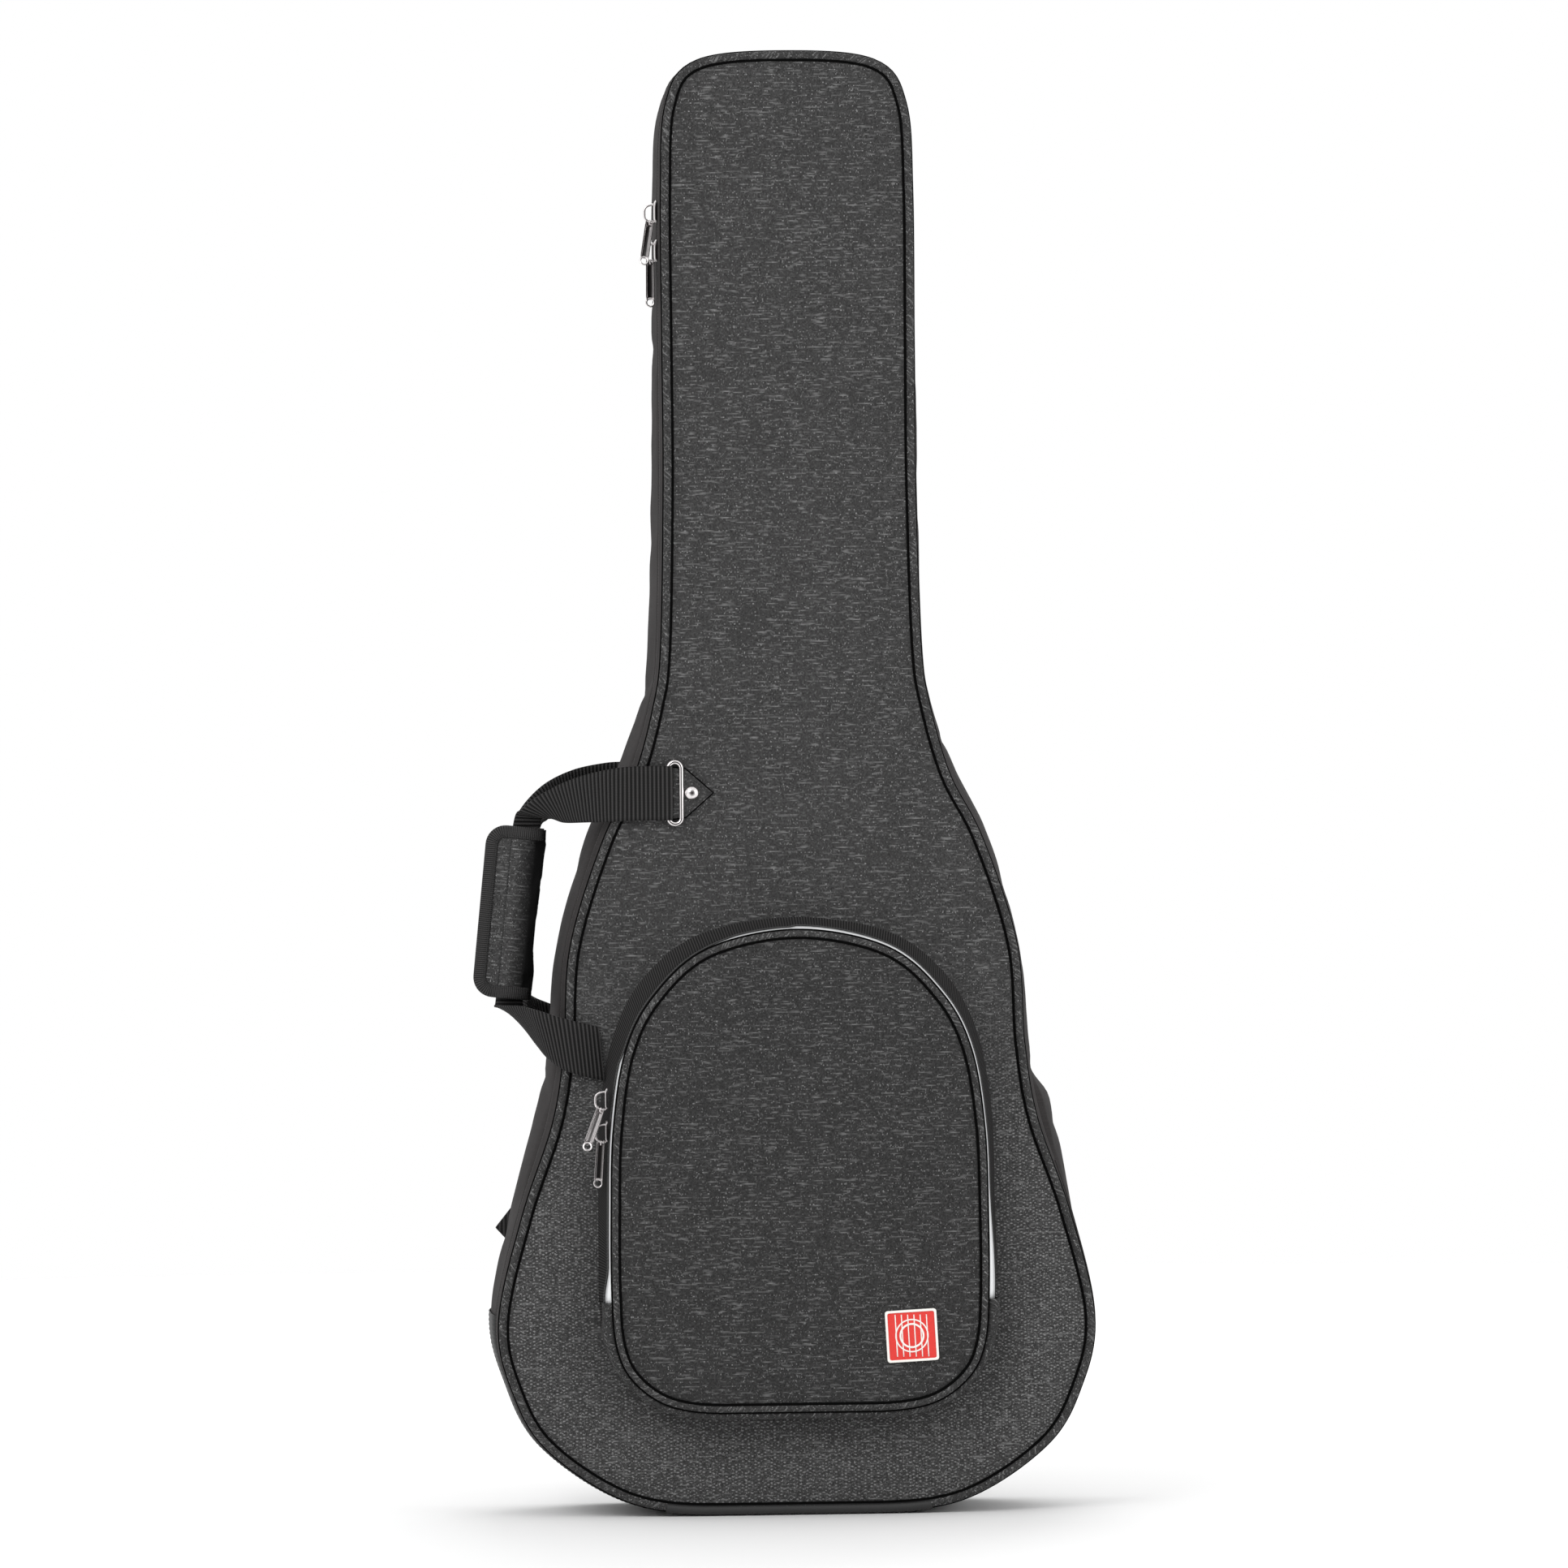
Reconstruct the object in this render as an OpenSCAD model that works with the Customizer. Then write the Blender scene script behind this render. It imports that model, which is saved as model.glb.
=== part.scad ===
// Padded guitar gig bag: a soft case with a side-opening lid, a front pocket, a two-loop
// carry handle with a wrap, four zip sliders and a pair of backpack straps.
// The bag stands upright: +Z up, -Y the front, the origin on the flat base.

/* [Bag] */
// Height of the bag
bag_height = 1080; // [1040:5:1120]
// Width across the lower bout
bag_width = 444; // [430:1:460]
// Distance from the origin plane to the front cover's face
front_depth = 72; // [70:1:74]
// Distance from the origin plane to the back cover's face at the body
back_depth = 74; // [72:1:76]
// The same distance at the neck
neck_back_depth = 48; // [44:1:60]

/* [Padding] */
// Foam thickness of the front, back and side walls
foam = 12; // [10:1:12]
// Thickness of the outer cloth
cloth = 1.5; // [1:0.1:1.8]
// Thickness of the lining
lining = 1; // [0.6:0.1:1.2]
// Diameter of the piping
piping = 6; // [5:0.5:6]

/* [Zip] */
// Depth from the front cover's face to the main zip
rim_depth = 22; // [20:1:26]
// Width of one half of a zip chain with its visible tape
zip_half = 4; // [3:0.5:5]

/* [Pocket] */
// How far the pocket stands out from the front cover
pocket_depth = 40; // [34:1:46]
// Height of the crease that the pocket's front folds about
pocket_fold = 157; // [155:1:165]

/* [Handle] */
// Width of the handle webbing
webbing_width = 40; // [30:1:42]
// Length of the padded grip
grip_length = 126; // [110:1:130]

/* [Curves] */
// Points between two named points of an outline
curve_steps = 2; // [2:1:4]

/* [Hidden] */
$fn = 48;

gap = 0.3;                                  // clearance between neighbouring pieces
cover_gap = 1.2;                            // clearance between a curved cover and its foam
width_scale = bag_width / 444;
height_scale = bag_height / 1080;

// Right halves of the outlines, from the base to the top centre: [half width, height].
// wall_half is the side wall where it bulges most; panel_half is the seam of the front
// and back panels.
wall_half = [[55, 2], [125, 9], [187, 50], [212, 97], [222, 146], [208, 221], [190, 289],
    [179, 340], [172, 415], [150, 497], [126, 547], [107, 600], [101, 640], [98, 760],
    [97, 860], [95, 980], [89, 1036], [70, 1070], [0, 1080]];
panel_half = [[50, 7.5], [120, 15], [179, 52], [204, 93], [214, 144], [196, 221], [173, 289],
    [164, 345], [159, 418], [135, 494], [111, 542], [96, 595], [90, 640], [87, 760],
    [87, 860], [87, 975], [83, 1038], [63, 1066], [0, 1072]];

// Right halves of the pocket's outlines: where its wall meets the bag, and its panel seam
pocket_foot_half = [[55, 56], [98, 72], [129, 99], [143, 127], [147, 165], [147, 235],
    [145, 300], [134, 358], [111, 400], [70, 430], [0, 441]];
pocket_panel_half = [[55, 83], [94, 88], [119, 105], [130, 128], [133, 165], [133, 225],
    [131, 285], [122, 341], [102, 380], [64, 413], [0, 426]];

// ---- Curves -------------------------------------------------------------------------

function spline_point(a, b, c, d, t) =
    0.5 * (2 * b + (c - a) * t + (2 * a - 5 * b + 4 * c - d) * t * t
        + (3 * b - a - 3 * c + d) * t * t * t);

// The point q mirrored in the vertical line through p, so the curve ends level
function level_end(p, q) = [2 * p.x - q.x, q.y];

function half_curve(points) =
    let (last = len(points) - 1)
    let (p = concat([level_end(points[0], points[1])], points,
        [level_end(points[last], points[last - 1])]))
    concat(
        [for (i = [1:last], s = [0:curve_steps - 1])
            spline_point(p[i - 1], p[i], p[i + 1], p[i + 2], s / curve_steps)],
        [points[last]]);

// Whole outline, anticlockwise: base centre, up the right side, down the left side
function outline(half) =
    let (scaled = [for (p = half) [p.x * width_scale, p.y * height_scale]])
    let (right = concat([[0, scaled[0].y]], half_curve(scaled)))
    let (top = len(right) - 1)
    concat(right, [for (i = [top - 1:-1:1]) [-right[i].x, right[i].y]]);

function unit(v) = v / norm(v);

// Each point moved square to the outline, outwards by distance
function outset(path, distance) =
    let (n = len(path))
    [for (i = [0:n - 1])
        let (along = unit(path[(i + 1) % n] - path[(i + n - 1) % n]))
        path[i] + distance * [along.y, -along.x]];

function mix(path_a, path_b, share) =
    [for (i = [0:len(path_a) - 1]) path_a[i] * (1 - share) + path_b[i] * share];

wall = outline(wall_half);
panel = outline(panel_half);
panel_edge = outset(panel, 5);
parting = mix(panel_edge, wall, 0.31);
pocket_foot = outline(pocket_foot_half);
pocket_panel = outline(pocket_panel_half);
ring_points = len(wall);
top_point = ring_points / 2;

front_y = -front_depth;
parting_y = front_y + rim_depth;
pocket_y = front_y - pocket_depth;
pocket_zip_y = pocket_y + 17;
slope_bottom = 640;                         // the back slopes in to the neck between these
slope_top = 760;

// The back cover's face at a height
function back_y(z) = lookup(z, [[slope_bottom, back_depth], [slope_top, neck_back_depth]]);

// ---- Building modules ------------------------------------------------------------------

// A flat outline made solid from y0 to y1
module slab(y0, y1) {
    translate([0, y1, 0])
        rotate([90, 0, 0])
            linear_extrude(y1 - y0)
                children();
}

// The flat shape between an outline moved by inner and by outer
module band(path, inner, outer) {
    difference() {
        polygon(outset(path, outer));
        polygon(outset(path, inner));
    }
}

// What lies between two depths measured from the back cover's face
module back_layer(near, far) {
    reach = 400;
    stations = [-50, slope_bottom, slope_top, 1200];
    translate([-reach, 0, 0])
        rotate([90, 0, 90])
            linear_extrude(2 * reach)
                polygon(concat([for (z = stations) [back_y(z) + near, z]],
                    [for (i = [3:-1:0]) [back_y(stations[i]) + far, stations[i]]]));
}

// A solid through a row of closed sections; joined end to end when closed is true. Its walls
// are triangles, because four corners of a twisted strip don't lie in one plane.
module skin(sections, closed = false) {
    rows = len(sections);
    sides = len(sections[0]);
    last = closed ? rows - 1 : rows - 2;
    walls = [for (i = [0:last], j = [0:sides - 1])
        let (next = (i + 1) % rows, k = (j + 1) % sides)
        let (a = i * sides + j, b = i * sides + k, c = next * sides + k, d = next * sides + j)
        each [[a, b, c], [a, c, d]]];
    caps = closed ? [] :
        [[for (j = [sides - 1:-1:0]) j], [for (j = [0:sides - 1]) (rows - 1) * sides + j]];
    polyhedron(points = [for (s = sections) each s], faces = concat(walls, caps), convexity = 10);
}

// One corner of a wall's section. A ring is [path, y] or [path, y, true], where y is then
// measured from the back cover's face.
function ring_corner(ring, i) =
    let (p = ring[0][i % len(ring[0])])
    [p.x, len(ring) == 3 ? back_y(p.y) + ring[1] : ring[1], p.y];

function wall_sections(rings, first, last) =
    [for (i = [first:last]) [for (ring = rings) ring_corner(ring, i)]];

// ---- Case: back half -------------------------------------------------------------------

cover_start = parting_y + zip_half + gap;
cover_rings = [[outset(parting, -cloth), cover_start], [outset(wall, -cloth), -10],
    [outset(wall, -cloth), 15], [outset(panel, 5 - cloth), -5, true],
    [panel_edge, -5, true], [wall, 15], [wall, -10], [parting, cover_start]];

foam_rings = [[outset(wall, -foam - cloth), parting_y + 0.5], [outset(wall, -foam - cloth), 5],
    [outset(panel, -foam + 4), -foam - 6, true], [outset(panel, 1), -foam - 6, true],
    [outset(panel, 4 - cloth), -6.5, true], [outset(wall, -cloth - cover_gap), 15],
    [outset(wall, -cloth - cover_gap), -10], [outset(parting, -cloth - cover_gap), parting_y + 0.5]];

module back_cover() {
    color("dimgray")
        intersection() {
            slab(0, 100) polygon(outset(panel, -gap));
            back_layer(-cloth, 0);
        }
}

module back_foam() {
    color("gainsboro")
        intersection() {
            slab(0, 100) polygon(outset(panel, -gap));
            back_layer(-cloth - foam, -cloth - gap);
        }
}

module case_lining() {
    color("darkslategray")
        intersection() {
            slab(0, 100) polygon(outset(panel, -foam));
            back_layer(-cloth - foam - gap - lining, -cloth - foam - gap);
        }
}

module wall_cover() {
    color("dimgray") skin(wall_sections(cover_rings, 0, ring_points - 1), closed = true);
}

module wall_foam_right() {
    color("gainsboro") skin(wall_sections(foam_rings, 0, top_point));
}

module wall_foam_left() {
    mirror([1, 0, 0]) wall_foam_right();
}

module back_piping() {
    color("gray")
        intersection() {
            slab(0, 100) band(panel, 0, piping);
            back_layer(-3.5, piping - 3.5);
        }
}

guard_top = 148;                            // the guard wraps up the lower bout to here

module bottom_guard() {
    color("black")
        slab(parting_y + zip_half + gap, back_depth - 4)
            difference() {
                band(wall, gap, 2);
                translate([-300, guard_top]) square([600, bag_height]);
            }
}

// A zip chain half round the bag. Along the hinge the same band is the cloth's folded edge.
module zip_ring(y0, y1) {
    slab(y0, y1) band(parting, -1.2, 0.6);
}

module case_zip() {
    color("black") zip_ring(parting_y + 0.15, parting_y + zip_half);
}

neck_rest_z = 700;                          // height of the block that holds the neck
neck_rest_height = 60;

module neck_rest() {
    block = 76;                             // half width of the block
    groove = 32;                            // radius of the neck's groove
    color("slategray")
        intersection() {
            difference() {
                translate([-block, -25, neck_rest_z]) cube([2 * block, 80, neck_rest_height]);
                translate([0, -25, neck_rest_z - 1]) cylinder(r = groove, h = neck_rest_height + 2);
            }
            back_layer(-120, -cloth - foam - lining - 2 * gap - 0.2);
        }
}

module hang_loop() {
    loop_width = 25;
    loop_z = 1010;
    loop_height = 44;
    color("black")
        translate([-loop_width / 2, neck_back_depth + gap, loop_z])
            rotate([90, 0, 90])
                linear_extrude(loop_width)
                    difference() {
                        union() {
                            square([14, loop_height]);
                            translate([14, loop_height / 2]) scale([0.6, 1]) circle(d = loop_height);
                        }
                        translate([-1, 2]) square([15, loop_height - 4]);
                        translate([14, loop_height / 2]) scale([0.6, 1]) circle(d = loop_height - 4);
                    }
}

strap_top_z = 606;                          // height that the shoulder straps hang from
strap_top_x = 44;

module strap_yoke() {
    color("dimgray")
        slab(back_depth + gap, back_depth + 2.8)
            polygon([[-78, 560], [78, 560], [70, 632], [-70, 632]]);
}

// ---- Handle hardware ---------------------------------------------------------------------

ring_x = -87;                               // centre of a handle ring
ring_z = 532;
ring_height = 49;
ring_wire = 3;

// The pointed cloth tab that holds a ring, lying on y0 to y1
module handle_tab(y0, y1) {
    slab(y0, y1)
        polygon([[ring_x, ring_z + 19], [ring_x + 8, ring_z + 17], [ring_x + 28, ring_z],
            [ring_x + 8, ring_z - 17], [ring_x, ring_z - 19]]);
}

// The oblong wire ring, in a plane square to Y
module handle_ring(y) {
    long = ring_height - 12;
    translate([ring_x, y, ring_z])
        for (side = [-1, 1]) {
            translate([side * 4.6, 0, -long / 2]) cylinder(d = ring_wire, h = long);
            translate([0, 0, side * long / 2])
                rotate([90, 0, 0])
                    rotate([0, 0, side > 0 ? 0 : 180])
                        rotate_extrude(angle = 180)
                            translate([4.6, 0])
                                circle(d = ring_wire);
        }
}

// A domed rivet on a cloth face, pointing towards -Y
module rivet() {
    rotate([90, 0, 0])
        intersection() {
            translate([0, 0, -1.6]) sphere(d = 9.4);
            cylinder(d = 8.6, h = 5);
        }
}

module rear_handle_tab() {
    color("dimgray") handle_tab(back_depth + gap, back_depth + 2.4);
}

module rear_handle_ring() {
    color("silver") handle_ring(back_depth + 5);
}

module rear_handle_rivet() {
    color("silver")
        translate([ring_x + 12.5, back_depth + 2.5, ring_z]) rotate([0, 0, 180]) rivet();
}

module front_handle_tab() {
    color("dimgray") handle_tab(front_y - 2.4, front_y - gap);
}

module front_handle_ring() {
    color("silver") handle_ring(front_y - 5);
}

module front_handle_rivet() {
    color("silver") translate([ring_x + 12.5, front_y - 2.5, ring_z]) rivet();
}

// ---- Strap anchors -----------------------------------------------------------------------

anchor_x = 186;                             // D-ring centre
anchor_z = 208;
anchor_y = back_depth + 6.8;

module anchor_tabs() {
    color("black")
        for (side = [-1, 1]) {
            slab(back_depth + gap, back_depth + 4.8)
                polygon([[side * 172, 195], [side * 172, 221], [side * 188, 221], [side * 188, 195]]);
            slab(back_depth + 2.8, back_depth + 4.8)
                polygon([[side * 180, 193], [side * 180, 223], [side * 205, 222], [side * 217, 207],
                    [side * 205, 195]]);
        }
}

module anchor_rings() {
    color("silver")
        for (side = [-1, 1])
            translate([side * anchor_x, anchor_y, anchor_z])
                rotate([90, 0, 0])
                    rotate_extrude()
                        translate([12, 0])
                            circle(d = 3);
}

// ---- Lid: front half ---------------------------------------------------------------------

rim_end = parting_y - zip_half - gap;
rim_rings = [[outset(panel, 5 - cloth), front_y + 4.5], [outset(parting, -cloth), rim_end],
    [parting, rim_end], [panel_edge, front_y + 4.5]];

rim_foam_rings = [[outset(panel, gap), front_y + cloth + foam + 0.5],
    [outset(panel, -foam + 3), front_y + cloth + foam + 0.5],
    [outset(parting, -foam), parting_y - 0.5],
    [outset(parting, -cloth - cover_gap), parting_y - 0.5],
    [outset(panel, 4 - cloth), front_y + 5]];

module front_cover() {
    color("dimgray") slab(front_y, front_y + cloth) polygon(outset(panel, -gap));
}

module front_foam() {
    color("gainsboro")
        slab(front_y + cloth + gap, front_y + cloth + foam) polygon(outset(panel, -gap));
}

module lid_lining() {
    color("darkslategray")
        slab(front_y + cloth + foam + gap, front_y + cloth + foam + gap + lining)
            polygon(outset(panel, -foam));
}

module rim_cover() {
    color("dimgray") skin(wall_sections(rim_rings, 0, ring_points - 1), closed = true);
}

module rim_foam() {
    color("gainsboro") skin(wall_sections(rim_foam_rings, 0, ring_points - 1), closed = true);
}

module front_piping() {
    color("gray") slab(front_y - 2, front_y + piping - 2) band(panel, 0, piping);
}

module lid_zip() {
    color("black") zip_ring(parting_y - zip_half, parting_y - 0.15);
}

module rim_guard() {
    color("black")
        slab(front_y, parting_y - zip_half - gap)
            difference() {
                band(panel_edge, 1.2, 2);
                translate([-300, 20]) square([600, bag_height]);
            }
}

// ---- Pocket --------------------------------------------------------------------------------

pocket_edge = outset(pocket_panel, 5);
pocket_points = len(pocket_foot);

// Half plane above or below the crease, as a flat shape
module above_fold(margin) {
    translate([-300, pocket_fold + margin]) square([600, bag_height]);
}

module pocket_wall() {
    rings = [[outset(pocket_edge, -cloth), pocket_zip_y + zip_half],
        [outset(pocket_foot, -cloth), front_y - gap],
        [pocket_foot, front_y - gap], [pocket_edge, pocket_zip_y + zip_half]];
    color("dimgray") skin(wall_sections(rings, 0, pocket_points - 1), closed = true);
}

module pocket_band() {
    color("black")
        slab(front_y - 2, front_y - gap)
            intersection() {
                band(pocket_foot, gap, 6);
                above_fold(0);
            }
}

// A pocket zip chain half from one end of the crease over the arch to the other
module pocket_zip(y0, y1) {
    slab(y0, y1)
        intersection() {
            band(pocket_edge, 0.2, 2);
            above_fold(0.4);
        }
}

module pocket_lower_zip() {
    color("black") pocket_zip(pocket_zip_y + 0.15, pocket_zip_y + zip_half - gap);
}

module pocket_upper_zip() {
    color("black") pocket_zip(pocket_zip_y - zip_half, pocket_zip_y - 0.15);
}

module pocket_cover() {
    color("dimgray")
        slab(pocket_y, pocket_y + cloth)
            intersection() {
                polygon(outset(pocket_panel, -gap));
                above_fold(0.4);
            }
}

module pocket_foam() {
    color("gainsboro")
        slab(pocket_y + cloth + gap, pocket_y + cloth + 6)
            intersection() {
                polygon(outset(pocket_panel, -gap));
                above_fold(0.4);
            }
}

module pocket_piping() {
    color("gray")
        slab(pocket_y - 1.5, pocket_y + 4.5)
            intersection() {
                band(pocket_panel, 0, piping);
                above_fold(0.4);
            }
}

module reflective_strip() {
    color("white")
        slab(pocket_y + 4.8, pocket_zip_y - zip_half - gap)
            intersection() {
                band(pocket_edge, -1, 0.5);
                above_fold(0.4);
            }
}

// The part of the pocket's front below the crease, which stays with its wall
module pocket_lower_front() {
    color("dimgray") {
        slab(pocket_y, pocket_y + cloth + 6)
            difference() {
                polygon(outset(pocket_panel, piping));
                above_fold(0);
            }
        slab(pocket_y + cloth + 5, pocket_zip_y + zip_half - gap)
            difference() {
                band(pocket_edge, -cloth, 0);
                above_fold(0);
            }
    }
}

badge_x = 81;                               // centre of the square badge
badge_z = 133;
badge_size = 38;

module badge_plate(size, y0, y1) {
    translate([badge_x, 0, badge_z])
        rotate([0, -2, 0])
            translate([-size / 2, 0, -size / 2])
                slab(y0, y1) square(size);
}

module badge_frame() {
    color("silver") badge_plate(badge_size, pocket_y - 2, pocket_y - 0.1);
}

module badge_enamel() {
    color("red") badge_plate(badge_size - 4, pocket_y - 2.5, pocket_y - 2.05);
}

// ---- Carry handle ----------------------------------------------------------------------------

grip_tilt = 5.8;                            // the grip leans out towards its lower end
grip_center = [-207.5, -14, 445];
grip_depth = 24;
grip_width = 40;
tube_offset = 6;                            // the webbing's tube lies towards the bag

// Routes of the loops: [x, y, z, half width along Z, half width along X]. The webbing is
// flat against the bag at both ends and gathers on edge where it runs through the grip.
front_route = [[-101, front_y - 6, 532, 20, 0], [-116, front_y - 6, 532, 20, 0],
    [-132, front_y - 4.5, 531, 19, 0], [-154, -62, 528, 17, 2], [-173, -42, 523, 12, 6],
    [-187, -26, 518, 4, 10], [-194, -14, 509, 0, 10], [-201.5, -14, 445, 0, 10],
    [-207.8, -14, 382, 0, 10], [-207, -21, 374, 2, 12], [-203, -34, 366, 10, 10],
    [-194, -54, 360, 16, 7], [-184, -72, 354, 19, 5], [-170, front_y - 8, 348, 20, 3],
    [-158, front_y - 8, 345, 20, 2]];
rear_route = [[-101, back_depth + 6, 536, 20, 0], [-116, back_depth + 6, 536, 20, 0],
    [-132, back_depth + 4, 536, 19, 0], [-154, 64, 533, 17, 2], [-173, 42, 527, 12, 6],
    [-187, 22, 517, 4, 10], [-194, 7, 502, 0, 10], [-201.5, 7, 445, 0, 10],
    [-207, 7, 394, 0, 10], [-206, 16, 384, 2, 12], [-201, 34, 376, 10, 10],
    [-192, 56, 369, 16, 7], [-183, 72, 362, 19, 5], [-174, back_depth + 5, 356, 20, 3],
    [-166, back_depth + 6.5, 352, 20, 2]];
webbing_thickness = 2.2;

// A flat strip along a route, its width leaning from Z towards X
module webbing(route) {
    share = webbing_width / 40;
    sections = [for (i = [0:len(route) - 1])
        let (p = route[i])
        let (before = route[max(i - 1, 0)], after = route[min(i + 1, len(route) - 1)])
        let (along = unit([after.x - before.x, after.y - before.y, after.z - before.z]))
        let (across = [-p[4], 0, p[3]] * share)
        let (thick = unit(cross(along, across)) * webbing_thickness / 2)
        let (centre = [p.x, p.y, p.z])
        [centre + across - thick, centre - across - thick,
            centre - across + thick, centre + across + thick]];
    skin(sections);
}

module front_webbing() {
    color("black") webbing(front_route);
}

module rear_webbing() {
    color("black") webbing(rear_route);
}

// Places a piece at the grip, in the grip's own upright frame
module at_grip() {
    translate(grip_center)
        rotate([0, grip_tilt, 0])
            translate([0, 0, -grip_length / 2])
                children();
}

module grip_section(width, depth) {
    hull()
        for (x = [-width / 2 + depth / 2, width / 2 - depth / 2])
            translate([x, 0]) circle(d = depth);
}

module grip_pad() {
    color("dimgray")
        at_grip()
            linear_extrude(grip_length)
                difference() {
                    grip_section(grip_width, grip_depth);
                    translate([tube_offset, 0]) grip_section(25, 9);
                }
}

module grip_binding() {
    color("black")
        at_grip()
            translate([-grip_width / 2 - 3.4, -3, 6])
                cube([3.1, 6, grip_length - 12]);
}

// ---- Zip sliders -------------------------------------------------------------------------------

plate_thickness = 2.4;
bail_reach = 7;                             // how far a slider's bail stands off its plate
bail_height = 13;
post_radius = 0.8;
post_clearance = 0.08;
pull_width = 5;
pull_length = 28;

// A slider: its plate's inner face at the origin, its bail reaching towards -X
module slider() {
    plate_height = 12;
    bail_x = -plate_thickness - bail_reach;
    rotate([0, -90, 0])
        linear_extrude(plate_thickness) {
            translate([-plate_height / 2, -4]) square([plate_height, 8]);
            translate([plate_height / 2, 0]) circle(d = 8);
        }
    for (side = [-1, 1]) {
        translate([bail_x, 0, side * bail_height / 2])
            rotate([0, 90, 0])
                cylinder(r = post_radius, h = bail_reach + 1);
        translate([bail_x, 0, side * bail_height / 2]) sphere(r = post_radius);
    }
    translate([bail_x, 0, -bail_height / 2]) cylinder(r = post_radius, h = bail_height);
}

// A channel-shaped pull that hangs from the bail's lower post, which is at the origin, with
// a ring at its end. lean swings it forward and tilt leans it out from the bag.
module pull(lean, tilt) {
    side = 0.8;
    rotate([-lean, 0, 0])
        difference() {
            rotate([0, tilt, 0]) {
                for (x = [-pull_width / 2, pull_width / 2 - side])
                    translate([x, -1.5, -pull_length]) cube([side, 3, pull_length + 1.7]);
                translate([-pull_width / 2, 1.2, -pull_length])
                    cube([pull_width, side, pull_length - 3]);
                translate([0, 2, -pull_length - 2])
                    rotate([90, 0, 0])
                        linear_extrude(1.6)
                            difference() {
                                circle(d = 7);
                                circle(d = 4.4);
                            }
            }
            translate([-pull_width, 0, 0])
                rotate([0, 90, 0])
                    cylinder(r = post_radius + post_clearance, h = 2 * pull_width);
        }
}

pivot_out = plate_thickness + 3.3;          // from a plate's inner face to its pull's middle
pivot_drop = bail_height / 2;

main_slider_x = -94.6;
upper_slider_z = 960;
lower_slider_z = 931;
upper_lean = 17;                            // the upper pull lies in front of the lower bail

pocket_slider_x = -139.2;
pocket_slider_a_z = 307;
pocket_slider_b_z = 283;
pocket_lean = 22;
pocket_tilt = 16;

module place_slider(x, y, z) {
    color("silver") translate([x, y, z]) slider();
}

module place_pull(x, y, z, lean, tilt) {
    color("silver") translate([x - pivot_out, y, z - pivot_drop]) pull(lean, tilt);
}

module upper_slider() {
    place_slider(main_slider_x, parting_y, upper_slider_z);
}

module upper_pull() {
    place_pull(main_slider_x, parting_y, upper_slider_z, upper_lean, 0);
}

module lower_slider() {
    place_slider(main_slider_x, parting_y, lower_slider_z);
}

module lower_pull() {
    place_pull(main_slider_x, parting_y, lower_slider_z, 0, 0);
}

module pocket_slider_a() {
    place_slider(pocket_slider_x, pocket_zip_y, pocket_slider_a_z);
}

module pocket_pull_a() {
    place_pull(pocket_slider_x, pocket_zip_y, pocket_slider_a_z, pocket_lean, pocket_tilt);
}

module pocket_slider_b() {
    place_slider(pocket_slider_x, pocket_zip_y, pocket_slider_b_z);
}

module pocket_pull_b() {
    place_pull(pocket_slider_x, pocket_zip_y, pocket_slider_b_z, 0, 4);
}

// ---- Shoulder straps ------------------------------------------------------------------------------

strap_y = back_depth + 6;
pad_length = 300;
pad_width = 64;
pad_thickness = 14;
pad_lift = 1.6;                             // the pad's inner face, out from the hinge line
hinge_roll = 2.9;                           // radius of the rolled webbing at the yoke
hinge_roll_length = 36;

// The tail webbing leaves the round end of the pad and points at its D-ring
tail_x = anchor_x - strap_top_x;
tail_z = strap_top_z - pad_length + pad_width / 2 - anchor_z;
tail_angle = atan(tail_x / tail_z);
tail_start = pad_width / 2 + gap;
tail_end = norm([tail_x, tail_z]) - 24;

// Places a piece in a strap's own frame, with its hinge line at the origin
module at_strap(side) {
    translate([side * strap_top_x, strap_y, strap_top_z]) children();
}

// Places a piece in the tail's frame, hanging from the centre of the pad's round end
module at_tail(side) {
    at_strap(side)
        translate([0, 0, pad_width / 2 - pad_length])
            rotate([0, -side * tail_angle, 0])
                children();
}

module strap_pad(side) {
    radius = pad_width / 2;
    drop = 5;                               // the pad starts this far below its hinge line
    color("dimgray")
        at_strap(side) {
            slab(pad_lift, pad_lift + pad_thickness) {
                translate([0, -radius - drop]) circle(r = radius);
                translate([-radius, radius - pad_length])
                    square([pad_width, pad_length - pad_width - drop]);
                translate([0, radius - pad_length]) circle(r = radius);
            }
            translate([-hinge_roll_length / 2, 0, 0])
                rotate([0, 90, 0])
                    cylinder(r = hinge_roll, h = hinge_roll_length);
            translate([-hinge_roll_length / 2, 0, -16]) cube([hinge_roll_length, 3, 16]);
        }
}

module strap_webbing(side) {
    color("black")
        at_tail(side) translate([-12.5, 5, -tail_end]) cube([25, 2, tail_end - tail_start]);
}

module strap_buckle(side) {
    color("black")
        at_tail(side)
            translate([0, 0, -tail_start - 32])
                difference() {
                    translate([-17, 2, 0]) cube([34, 8, 26]);
                    translate([-13, 1, 4]) cube([26, 10, 6]);
                    translate([-13, 1, 16]) cube([26, 10, 6]);
                    translate([-13, 4.7, -1]) cube([26, 2.6, 28]);
                }
}

module strap_hook(side) {
    color("black")
        at_tail(side)
            translate([0, 3.2, -tail_end - gap]) {
                translate([-15, 0, -6]) cube([30, 5, 6]);
                translate([-4, 0, -20]) cube([8, 5, 14.2]);
            }
}

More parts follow.
